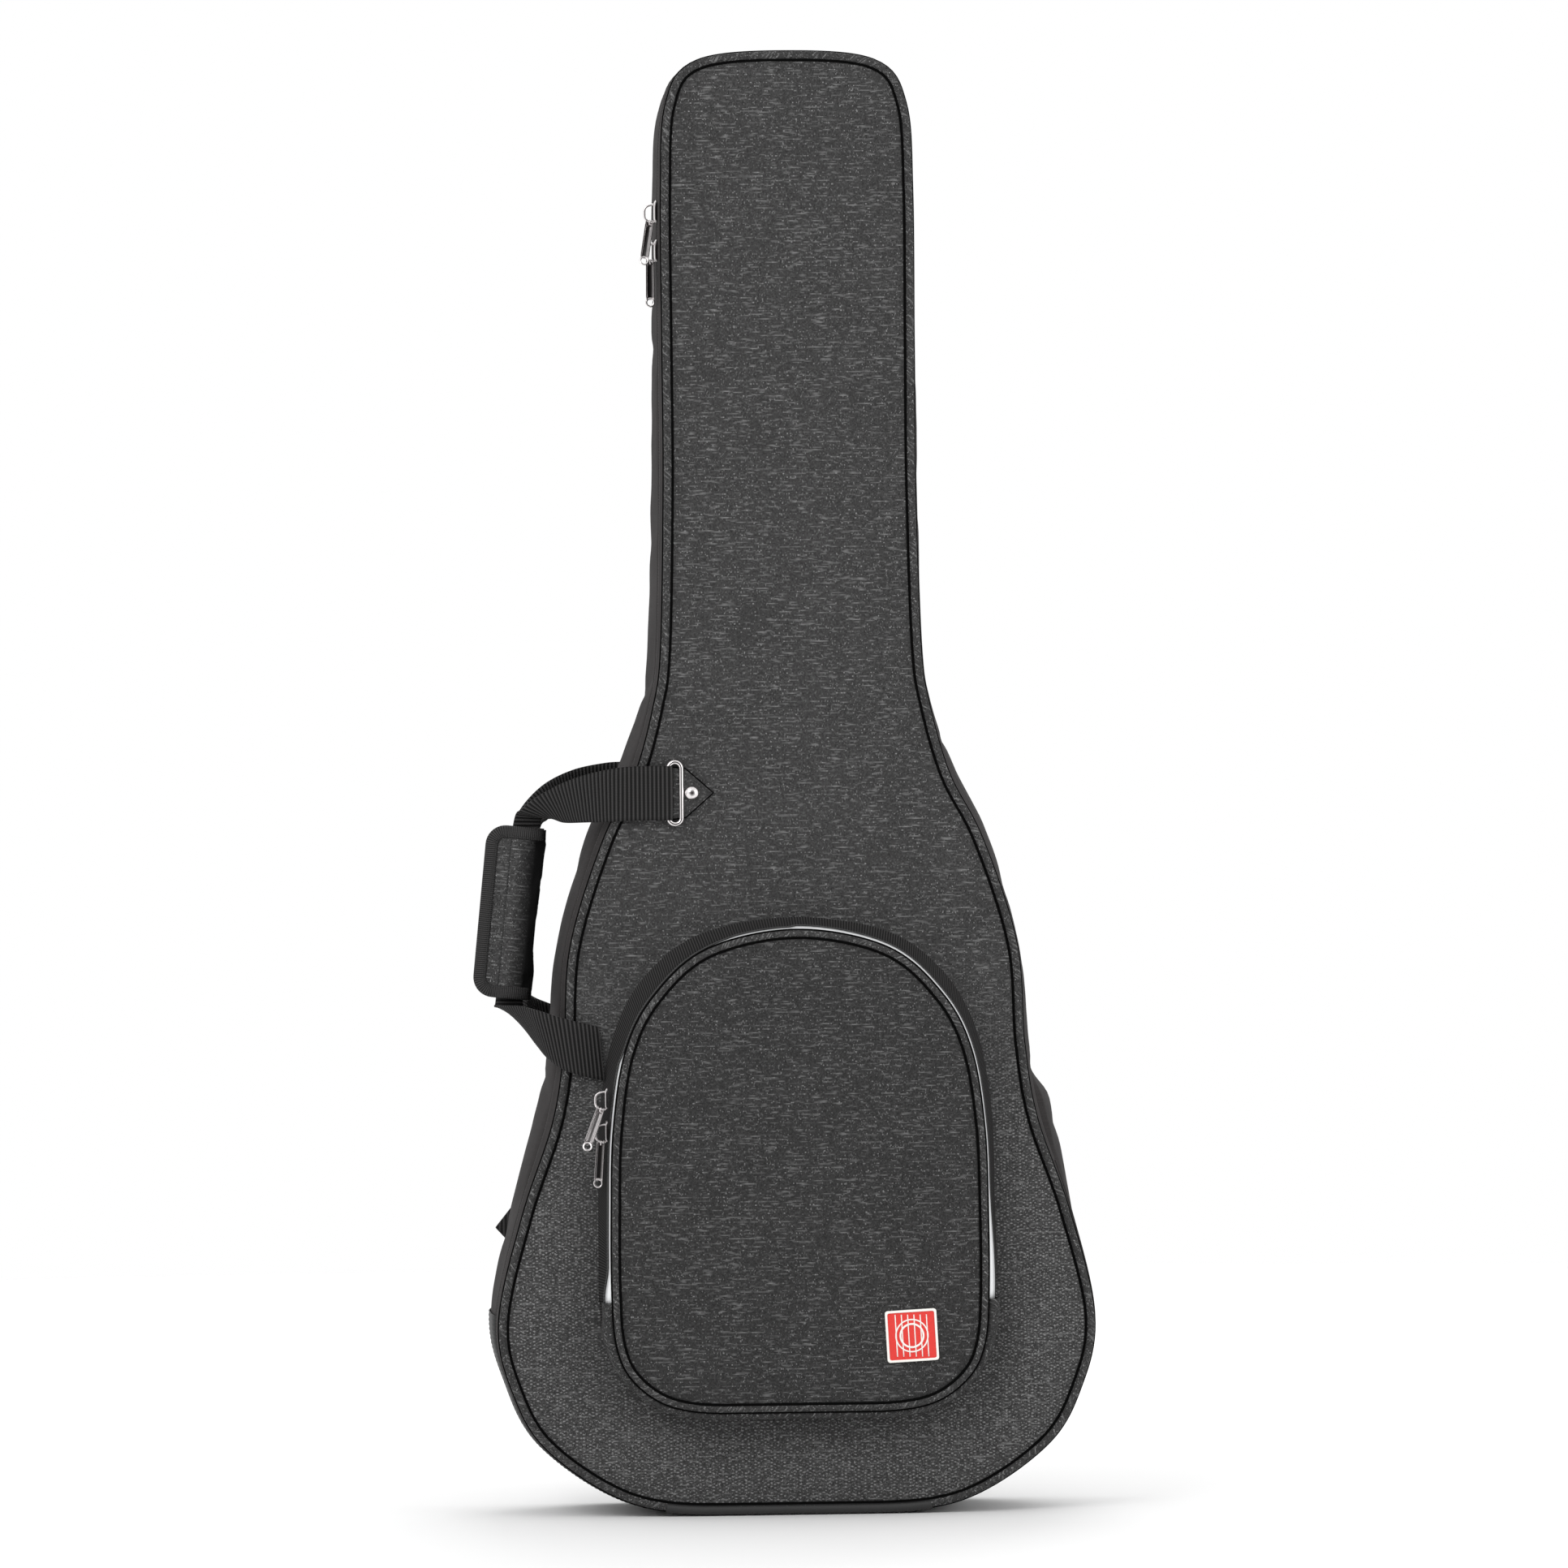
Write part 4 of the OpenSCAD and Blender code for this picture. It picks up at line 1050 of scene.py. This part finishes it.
def webbing(name, route, thickness=1.7, rib=0.4):
    """Ribbed flat strap along a route of [x, y, z, half width along Z, half width along X]."""
    line = curve_through(route, 0.5)
    centre, half = line[:, :3], np.stack([-line[:, 4], 0 * line[:, 3], line[:, 3]], 1)
    normal = unit(np.cross(unit(np.gradient(centre, axis=0)), half))
    run = run_along(centre)
    ribs = rib * np.sin(2 * np.pi * run / RIB_PITCH)
    share = np.linspace(-1, 1, 14)
    taper = 1 - 0.55 * np.abs(share) ** 8
    reach = thickness / 2 * taper[:, None] + ribs[None] * (np.abs(share) < 0.97)[:, None]
    top = centre[None] + share[:, None, None] * half[None] + reach[..., None] * normal[None]
    bottom = centre[None] + share[:, None, None] * half[None] - reach[..., None] * normal[None]
    width = share[:, None] * np.linalg.norm(half, axis=1)
    flat = np.stack([np.broadcast_to(run, width.shape), width], 2)
    return surface(name, np.concatenate([top, bottom[::-1]]), BLACK_WEBBING, wrap_rows=True,
                   uv=np.concatenate([flat, flat[::-1]]), cap=True)


def handle_loop(name, route, node):
    """A handle loop's webbing: hides the CAD node that it stands for and bakes its place into its
    mesh.
    """
    loop = webbing(name, route)
    stand_for(loop, node)
    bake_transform(loop)


handle_loop("front_loop", FRONT_ROUTE, "front_webbing")
handle_loop("rear_loop", REAR_ROUTE, "rear_webbing")

GRIP_LENGTH, GRIP_LEFT, GRIP_CORNER = 126.0, -21.0, 14.0
GRIP_MIDDLE = (-207.5, -14, 445)
GRIP_TILT = math.radians(5.8)
GRIP_PROFILE = [(-21, 1.2), (-19.5, 2.3), (-15, 2.9), (-10, 3.2), (-6, 4.2), (-3, 6.6), (1, 9.4),
                (5.5, 11.2), (10.5, 11.3), (15, 9.8), (19, 6.8), (21.3, 3.4), (22, 0)]


def at_grip(points):
    """From the grip's own frame, upright from its foot, to the bag's."""
    x, y, z = np.moveaxis(points - [0, 0, GRIP_LENGTH / 2], -1, 0)
    c, n = math.cos(GRIP_TILT), math.sin(GRIP_TILT)
    return np.stack([x * c + z * n, y, z * c - x * n], -1) + GRIP_MIDDLE


def grip_left(z):
    """Where the flap's edge is at a height, with its rounded corners."""
    near = np.clip(GRIP_CORNER - np.minimum(z, GRIP_LENGTH - z), 0, GRIP_CORNER)
    return GRIP_LEFT + GRIP_CORNER - np.sqrt(GRIP_CORNER ** 2 - near ** 2)


def grip_half(x, z):
    """Half the grip's thickness at a place on its face."""
    left = grip_left(z)
    flap = GRIP_LEFT * (1 - np.clip((x - left) / -left, 0, 1))
    known = np.array(GRIP_PROFILE)
    return np.interp(np.where(x < 0, flap, x), known[:, 0], known[:, 1])


def grip_section(z):
    """The closed section at a height: the front face, then the back face."""
    profile = curve_through(np.array(GRIP_PROFILE), 1.6)
    x = np.where(profile[:, 0] < 0, profile[:, 0] * grip_left(z) / GRIP_LEFT, profile[:, 0])
    front = np.stack([x, -profile[:, 1], np.full(len(x), z)], 1)
    back = front[::-1] * [1, -1, 1]
    return np.vstack([front, back[1:]])


def grip_bore(z, depth):
    """The mouth of the grip's tube, seen as the section pulled in to an oval."""
    section = grip_section(z)
    offset = section[:, :2] - [6, 0]
    pull = 1 / np.sqrt((offset[:, 0] / 13) ** 2 + (offset[:, 1] / 5.5) ** 2)
    offset = offset * np.minimum(pull, 1)[:, None]
    return np.column_stack([offset + [6, 0], np.full(len(section), z + depth)])


def make_grip():
    """The padded wrap: a tube for the webbing, and a flat flap on its closed edge."""
    outer = []
    for z in np.concatenate([[0, 0.6, 1.6], np.linspace(4, 122, 36), [124.4, 125.4, 126]]):
        squeeze = 1 - 0.10 * max(0, 1 - min(z, GRIP_LENGTH - z) / 1.6)
        ring = grip_section(z) * [1, squeeze, 1]
        ring[:, 1] *= 1 + 0.05 * rolling(ring, 24, 31)
        outer.append(ring)
    rings = np.array([grip_bore(0, 14), grip_bore(0, 0), *outer, grip_bore(126, 0),
                      grip_bore(126, -14)]).transpose(1, 0, 2)
    grip = surface("grip_wrap", at_grip(rings), HEATHER_GRIP, wrap_rows=True, uv=rings[..., [2, 0]])
    across, heights = rings[..., 0].ravel(), rings[..., 2].ravel()
    held = np.maximum(smooth_step(9, 3, np.minimum(heights, GRIP_LENGTH - heights)),
                      smooth_step(2, -3, across))
    settle(grip, held, 1.6, 3.0, 0.015)
    put(grip, "front_handle", "grip_pad")


def grip_border():
    """Places round the flap, from the top of the tube to its foot, and the way inwards."""
    arc_x, arc_z = GRIP_LEFT + GRIP_CORNER, GRIP_LENGTH - GRIP_CORNER
    upper = [(x, GRIP_LENGTH) for x in np.linspace(20, arc_x, 12, endpoint=False)]
    upper += [(arc_x - GRIP_CORNER * math.sin(a), arc_z + GRIP_CORNER * math.cos(a))
              for a in np.linspace(0, math.pi / 2, 10)]
    side = [(GRIP_LEFT, z) for z in np.linspace(arc_z, GRIP_CORNER, 26)[1:-1]]
    path = np.array(upper + side + [(x, GRIP_LENGTH - z) for x, z in upper[::-1]])
    along = unit(np.gradient(path, axis=0))
    return path, np.stack([-along[:, 1], along[:, 0]], 1)


def on_grip(place, side, stand):
    """Points on the grip's front (side -1) or back face, standing off it a little."""
    depth = grip_half(place[:, 0], place[:, 1]) + stand
    return np.column_stack([place[:, 0], side * depth, place[:, 1]])


def make_binding():
    """The black binding round the flap, on both faces, with its stitches and the tube's seam."""
    path, inwards = grip_border()
    seam_line = np.array([(-3.6, z) for z in np.linspace(9, 117, 60)])
    for side, word in ((-1, "front"), (1, "back")):
        rows = [on_grip(path + inwards * inset, side, stand)
                for inset, stand in ((-0.7, -0.9), (-0.5, 0.3), (0.8, 0.75), (4, 0.8), (7.6, 0.75),
                                     (8.2, 0.1))]
        strip = surface("grip_binding_" + word, at_grip(np.array(rows)), BINDING, thick=0.6)
        put(strip, "front_handle", *(["grip_binding"] if side < 0 else []))
        sewn = at_grip(on_grip(path + inwards * 7.0, side, 1.1))
        put(stitches("grip_binding_stitches_" + word, sewn, (0, side, 0), 3.0), "front_handle")
        sewn = at_grip(on_grip(seam_line, side, 0.35))
        put(stitches("grip_seam_stitches_" + word, sewn, (0, side, 0), 2.8, 1.0), "front_handle")


make_grip()
make_binding()

# ---- Zip sliders --------------------------------------------------------------------------------


def turned(points, lean, tilt, pivot):
    """Points leaned about X and tilted about Y, then moved to a pull's pivot."""
    a, b = math.radians(-lean), math.radians(tilt)
    x, y, z = points[..., 0], points[..., 1], points[..., 2]
    x, z = x * math.cos(b) + z * math.sin(b), -x * math.sin(b) + z * math.cos(b)
    y, z = y * math.cos(a) - z * math.sin(a), y * math.sin(a) + z * math.cos(a)
    return np.stack([x, y, z], -1) + pivot


def slider(name, x, y, z):
    """A slider's shield and its wire bail, which stands out towards -X."""
    right = [(1.4, 9.8), (3.2, 8.6), (4.2, 6.2), (3.6, 0), (4.0, -5.0), (2.8, -6.6)]
    shield = right + [(-a, b) for a, b in right[::-1]]
    points = []
    for depth, share in ((0.1, 0.9), (-0.4, 1.0), (-1.7, 1.0), (-2.4, 0.82), (-2.6, 0.5),
                         (-2.65, 0.02)):
        points.append([(x + depth, y + a * share, z + b * share) for a, b in shield])
    plate = surface(name + "_shield", np.array(points), SHADED_NICKEL, wrap_cols=True, cap=True)
    rounding = plate.modifiers.new("rounding", "SUBSURF")
    rounding.levels = rounding.render_levels = 2
    put(plate, name, name)
    t = np.linspace(0, math.pi, 30)
    bail = np.stack([x - 1.8 - 7.7 * np.sin(t), 0 * t + y,
                     z + 6.6 * np.sign(np.cos(t)) * np.abs(np.cos(t)) ** 0.55], 1)
    put(tube(name + "_bail", bail, 0.85, NICKEL, sides=10, flat=1.5), name)


def pull(name, x, y, z, lean, tilt):
    """A channel-shaped pull, open to the front, with an eye above and a ring at its foot."""
    pivot = np.array([x - 5.7, y, z - 6.5])
    width = np.array([2.1, 2.6, 2.75, 2.8, 2.85, 2.9, 2.6])
    heights = np.array([1.6, 0.2, -2.5, -10, -18, -25.5, -28.2])
    section = [(-1, -1.7), (-1, 0.6), (-0.82, 1.35), (0.82, 1.35), (1, 0.6), (1, -1.7)]
    points = np.array([[(a * w, b, h) for w, h in zip(width, heights)] for a, b in section])
    channel = surface(name + "_channel", turned(points, lean, tilt, pivot), SHADED_NICKEL,
                      thick=0.75)
    put(channel, name, name)
    t = np.linspace(0, 2 * math.pi, 29)[:-1]
    ring = np.stack([2.9 * np.cos(t), 0 * t + 0.9, -30 + 3.0 * np.sin(t)], 1)
    eye = np.stack([0 * t, 2.1 * np.cos(t), 1.7 * np.sin(t) - 0.3], 1)
    for word, path, wire in (("_ring", ring, 0.75), ("_eye", eye, 0.6)):
        put(tube(name + word, turned(path, lean, tilt, pivot), wire, NICKEL, closed=True, sides=8),
            name)


# Each zip's sliders: their names' two parts, place, and how each pull leans and tilts
for start, end, x, y, z, lean, tilt in (("upper", "", -94.6, PARTING_Y, 960, 17, 9),
                                        ("lower", "", -94.6, PARTING_Y, 931, 0, 0),
                                        ("pocket", "_a", -139.2, POCKET_ZIP_Y, 307, 22, 20),
                                        ("pocket", "_b", -139.2, POCKET_ZIP_Y, 283, 0, 4)):
    slider(start + "_slider" + end, x, y, z)
    pull(start + "_pull" + end, x, y, z, lean, tilt)

# ---- Back: straps, yoke, hanging loop -----------------------------------------------------------

STRAP_X, STRAP_Z, STRAP_Y = 44.0, 606.0, BACK_Y + 6
PAD_HALF_WIDTH, PAD_TOP, PAD_FOOT = 29.5, 569, 338
ANCHOR_X, ANCHOR_Y, ANCHOR_Z = 186.0, 80.8, 208.0
TAIL_ANGLE = math.atan2(142, 130)
TAIL_START, TAIL_END = 32.3, math.hypot(142, 130) - 24


def at_tail(side, points):
    """From a strap tail's own frame, hanging down from the pad's round end, to the bag's."""
    x, y, z = np.moveaxis(np.asarray(points, float), -1, 0)
    c, n = math.cos(TAIL_ANGLE), -side * math.sin(TAIL_ANGLE)
    return np.stack([side * STRAP_X + x * c + z * n, STRAP_Y + y, PAD_FOOT - x * n + z * c], -1)


def stadium(half_width, top, bottom, spacing=5):
    """Closed outline with straight sides and round ends, anticlockwise from its foot."""
    arc = np.linspace(0, math.pi, round(math.pi * half_width / spacing) + 1)
    straight = np.linspace(0, 1, round((top - bottom) / spacing) + 1)[1:-1]
    right = [(half_width, z) for z in mix(bottom, top, straight)]
    high = [(half_width * math.cos(t), top + half_width * math.sin(t)) for t in arc]
    left, low = ([(-x, top + bottom - z) for x, z in part] for part in (right, high))
    return np.roll(np.array(low + right + high + left), -len(low) // 2, 0)


def strap_pad(side, word):
    """A quilted pad with bound edges; both faces are crowned and meet at the binding."""
    body = "strap_" + word
    border = stadium(PAD_HALF_WIDTH, PAD_TOP, PAD_FOOT)
    rings = rings_inwards(border, (0, 1.5, 3.5, 6, 9, 13), (PAD_FOOT + 7, PAD_TOP - 7), 6)
    away = np.array([distance_to(border, ring) for ring in rings])
    rise = 1.5 + 5.2 * (1 - np.exp(-away / 5.5))
    quilted = 2.2 * np.exp(-((np.abs(rings[..., 0]) - 10) / 1.7) ** 2) * smooth_step(4, 14, away)
    flat = np.stack([rings[..., 0], 0 * away, rings[..., 1]], 2)
    lumps = 0.5 * rolling(flat, 30, 41 + side) * (away > 2)
    middle = np.array([side * STRAP_X, STRAP_Y + 8.6, 0])
    outwards = np.array([0, 1, 0])
    outer = flat + middle + (rise - quilted + lumps)[..., None] * outwards
    inner = flat + middle - (rise - quilted * 0.5)[..., None] * outwards
    pad = surface("strap_pad_cloth_" + word, np.concatenate([outer[::-1], inner]), AIR_MESH,
                  wrap_cols=True, uv=np.concatenate([rings[::-1], rings]), merge=True)
    sewn = hold_border(pad, border + [side * STRAP_X, 0], 5)
    from_channel = np.abs(np.abs(mesh_points(pad)[:, 0] - side * STRAP_X) - 10)
    settle(pad, np.maximum(sewn, smooth_step(3.0, 1.2, from_channel) * (sewn < 1)), 3.0, 4.0, 0.02)
    put(pad, body, "strap_pad_" + word)
    put(tube("strap_pad_binding_" + word, at_depth(border, 0) + middle, 2.9, BINDING, closed=True,
             sides=12, flat=0.75), body)
    for offset, letter in ((-10, "a"), (10, "b")):
        line = middle + [[offset, 5.2, z] for z in np.linspace(320, 585, 90)]
        put(stitches(f"strap_quilt_{word}_{letter}", line, (0, 1, 0)), body)
    # The webbing that hangs the pad from the yoke: a roll, then a tongue sewn on the pad
    turn = np.linspace(0, math.pi, 8)
    roll = [(STRAP_Y - 2.0 * math.cos(a), STRAP_Z + 2.0 * math.sin(a)) for a in turn]
    drop = [(STRAP_Y + 1.9, STRAP_Z - 6), (STRAP_Y + 5, STRAP_Z - 12),
            (STRAP_Y + 12.5, STRAP_Z - 24), (STRAP_Y + 15.6, STRAP_Z - 36),
            (STRAP_Y + 15.8, STRAP_Z - 62)]
    line = curve_through(roll + drop, 1.0)
    put(flat_webbing("strap_tongue_" + word, line, side * STRAP_X, 17.5, 1.5), body)


def flat_webbing(name, line, middle_x, half_width, thick):
    """Webbing along a line of [y, z] places, of an even width along X."""
    rows = [np.column_stack([np.full(len(line), middle_x + x), line])
            for x in np.linspace(-half_width, half_width, 7)]
    return surface(name, np.array(rows), BLACK_WEBBING, thick=thick)


def strap_tail(side, word):
    """Tail webbing, ladder buckle and hook, in the line of the D-ring."""
    body = "strap_" + word
    run = np.linspace(-TAIL_START + 14, -TAIL_END, 110)
    ribs = 0.22 * np.sin(2 * np.pi * run / RIB_PITCH)
    lift = 6.0 + 1.3 * np.exp(-((run + TAIL_START + 19) / 11) ** 2)
    section = [(-12.3, 0), (-12, 1), (-6, 1), (0, 1), (6, 1), (12, 1), (12.3, 0), (12, -1),
               (6, -1), (0, -1), (-6, -1), (-12, -1)]
    rows = np.array([np.column_stack([np.full(len(run), x), lift + level * (0.8 + ribs), run])
                     for x, level in section])
    put(surface("strap_tail_" + word, at_tail(side, rows), BLACK_WEBBING, wrap_rows=True,
                uv=rows[..., [2, 0]], cap=True), body, "strap_webbing_" + word)

    def rod(name, ends, radius, *nodes):
        """A round plastic rod through places in the tail's own frame."""
        put(tube(name + word, at_tail(side, ends), radius, ACETAL, sides=12), body, *nodes)

    low = -TAIL_START - 32
    across = np.linspace(-1, 1, 9)
    for k, (height, lift) in enumerate(((2, 4.4), (13, 8.4), (24, 4.4))):
        rod(f"strap_buckle_bar_{k + 1}_", [[17 * x, lift, low + height] for x in across], 2.1,
            *(["strap_buckle_" + word] if k == 0 else []))
    for k, x in enumerate((-15.3, 15.3)):
        rod(f"strap_buckle_side_{k + 1}_", [[x, 4.4 + 3.4 * math.sin(math.pi * t), low + 26 * t]
                                            for t in np.linspace(0, 1, 12)], 1.9)
    rod("strap_hook_bar_", [[13 * x, 5.6, -TAIL_END - 2.6] for x in across], 2.4,
        "strap_hook_" + word)
    neck = curve_through([(0, 5.6, -TAIL_END - 3), (0, 5.6, -TAIL_END - 9),
                          (0, 5.4, -TAIL_END - 15), (0, 5.2, -TAIL_END - 18.5)], 1.5)
    thickness = np.interp(neck[:, 2], -TAIL_END + np.array([-18.5, -17, -14]), [1.6, 2.6, 3.4])
    put(tube("strap_hook_neck_" + word, at_tail(side, neck), thickness, ACETAL, sides=14,
             flat=0.62), body)


YOKE = [(-78, 560), (78, 560), (70, 632), (-70, 632)]
put(prism("yoke_cloth", YOKE, BACK_Y + 0.3, BACK_Y + 2.9, SIDE_CLOTH, 0.8), "case", "strap_yoke")
inner_yoke = [(x * 0.95, 596 + (z - 596) * 0.88) for x, z in YOKE + YOKE[:1]]
yoke_line = at_depth(polyline(inner_yoke, 20), BACK_Y + 2.9)
put(stitches("yoke_stitching", yoke_line, (0, 1, 0)), "case")

for side, word in ((-1, "left"), (1, "right")):
    strap_pad(side, word)
    strap_tail(side, word)
    box = [(side * STRAP_X + x, z) for x, z in ((-14, 612), (14, 612), (-14, 628), (14, 628),
                                                (-14, 612), (-14, 628), (14, 612), (14, 628))]
    put(stitches("yoke_box_stitching_" + word, at_depth(polyline(box, 12), BACK_Y + 2.9),
                 (0, 1, 0), 2.6), "case")
    tab = [(172, 193), (205, 194.5), (216.5, 207), (205, 221.5), (172, 223)]
    base = [(172, 195), (188, 195), (188, 221), (172, 221)]
    tab, base = ([(side * x, z) for x, z in shape][::side] for shape in (tab, base))
    put(prism("anchor_tab_" + word, tab, BACK_Y + 2.7, BACK_Y + 4.8, BLACK_WEBBING, 0.6), "case",
        *(["anchor_tabs"] if side < 0 else []))
    put(prism("anchor_base_" + word, base, BACK_Y + 0.3, BACK_Y + 2.6, BLACK_WEBBING, 0.6), "case")
    ring = circle((side * ANCHOR_X, ANCHOR_Y, ANCHOR_Z), 12)
    put(tube("anchor_ring_" + word, ring, 1.5, NICKEL, closed=True, sides=12), "case",
        *(["anchor_rings"] if side < 0 else []))

# The hanging loop: webbing sewn flat at both ends, standing off between them
foot = [(48.6, 1004), (49.0, 1011), (56, 1011.5), (64, 1012.5), (71, 1019)]
hang_line = curve_through(foot + [(74.4, 1032)] + [(y, 2064 - z) for y, z in foot[::-1]], 1.2)
put(flat_webbing("hanging_loop", hang_line, 0, 12.3, 1.9), "case", "hang_loop")

# ---- Neck rest inside the case ------------------------------------------------------------------


def neck_rest_ring(z, shrink):
    """The block's section at a height: a groove for the neck between two soft shoulders."""
    t = np.linspace(0, math.pi, 16)
    groove = [(-32.6 * math.cos(a), -25 + 32.6 * math.sin(a)) for a in t]
    back = back_face(z) - 17.5
    side = [(75, -25), (75.5, -22), (75.5, back - 4), (73, back - 0.5)]
    path = [(-x, y) for x, y in side[::-1]] + groove + side
    close = [(x, back - 0.3) for x in np.linspace(60, -60, 8)]
    ring = np.array(path + close)
    middle = np.array([0, 20.0])
    ring = middle + (ring - middle) * (1 - shrink * np.array([0.03, 0.06]))
    return np.column_stack([ring, np.full(len(ring), z)])


rest_rings = [neck_rest_ring(z, s)
              for z, s in ((700.4, 1), (701.4, 0.4), (704, 0.05), (715, 0), (730, -0.05),
                           (745, 0), (756, 0.05), (758.8, 0.4), (759.8, 1))]
rest = surface("neck_rest_cloth", np.array(rest_rings), LINING, wrap_cols=True, cap=True)
put(rest, "case", "neck_rest")

# ---- Hinge cloth on the right lower bout --------------------------------------------------------

hinge_part = part_of_ring(parting, lambda p: (p[:, 0] > 150) & (p[:, 1] > 96) & (p[:, 1] < 258))
hinge_rows = [(0.9, -7), (1.8, -5.5), (2.1, -2.5), (2.2, 0), (2.1, 2.5), (1.8, 5.5), (0.9, 7)]
hinge_rings = [at_depth(outset(parting, out), PARTING_Y + y)[hinge_part] for out, y in hinge_rows]
hinge_cloth = surface("hinge_cloth", np.array(hinge_rings), SIDE_CLOTH, thick=0.8)
stand_for(hinge_cloth)
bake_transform(hinge_cloth)

# ---- Camera, light and floor --------------------------------------------------------------------


def set_stage():
    """A pale floor and three soft lights in a white room."""
    scene = bpy.context.scene
    floor_material = moulded("floor", (0.86, 0.86, 0.86), 0.8, 0.02)
    turn = 2 * math.pi * np.arange(64) / 64
    disc = np.array([[r * np.cos(turn), r * np.sin(turn), 0 * turn - 0.5] for r in (1, 900, 3500)])
    floor = surface("floor", disc.transpose(0, 2, 1), floor_material, wrap_cols=True)
    world = bpy.data.worlds.new("studio")
    world.use_nodes = True
    room = world.node_tree.nodes["Background"].inputs
    room["Color"].default_value = (1, 1, 1, 1)
    room["Strength"].default_value = 1.0
    scene.world = world
    for name, place, size, power in (("key", (-1.6, -2.6, 2.2), 1.6, 34),
                                     ("fill", (2.2, -2.4, 1.2), 1.8, 16),
                                     ("rim", (0.5, 2.6, 2.4), 1.6, 30)):
        light = bpy.data.lights.new(name, "AREA")
        light.size = size
        light.energy = power
        lamp = bpy.data.objects.new(name, light)
        lamp.location = place
        aim = Vector((0, 0, 0.5)) - Vector(place)
        lamp.rotation_euler = aim.to_track_quat("-Z", "Y").to_euler()
        scene.collection.objects.link(lamp)
    scene.view_settings.view_transform = "Standard"


def set_camera():
    """A long lens a little to the left of the bag, level with its middle and slightly rolled."""
    azimuth = math.radians(-3.9)
    roll = math.radians(-0.54)
    distance = 7.0
    width_in_view = 1.167
    aim = Vector((-0.0013, 0, 0.538))
    camera = bpy.data.cameras.new("camera")
    camera.sensor_width = 36
    camera.lens = camera.sensor_width * distance / width_in_view
    camera.clip_end = 100
    view = bpy.data.objects.new("camera", camera)
    away = Vector((math.sin(azimuth), -math.cos(azimuth), 0))
    view.location = aim + away * distance
    facing = (-away).to_track_quat("-Z", "Y")
    view.rotation_mode = "QUATERNION"
    view.rotation_quaternion = facing @ Quaternion((0, 0, 1), roll)
    bpy.context.scene.collection.objects.link(view)
    bpy.context.scene.camera = view


set_stage()
set_camera()
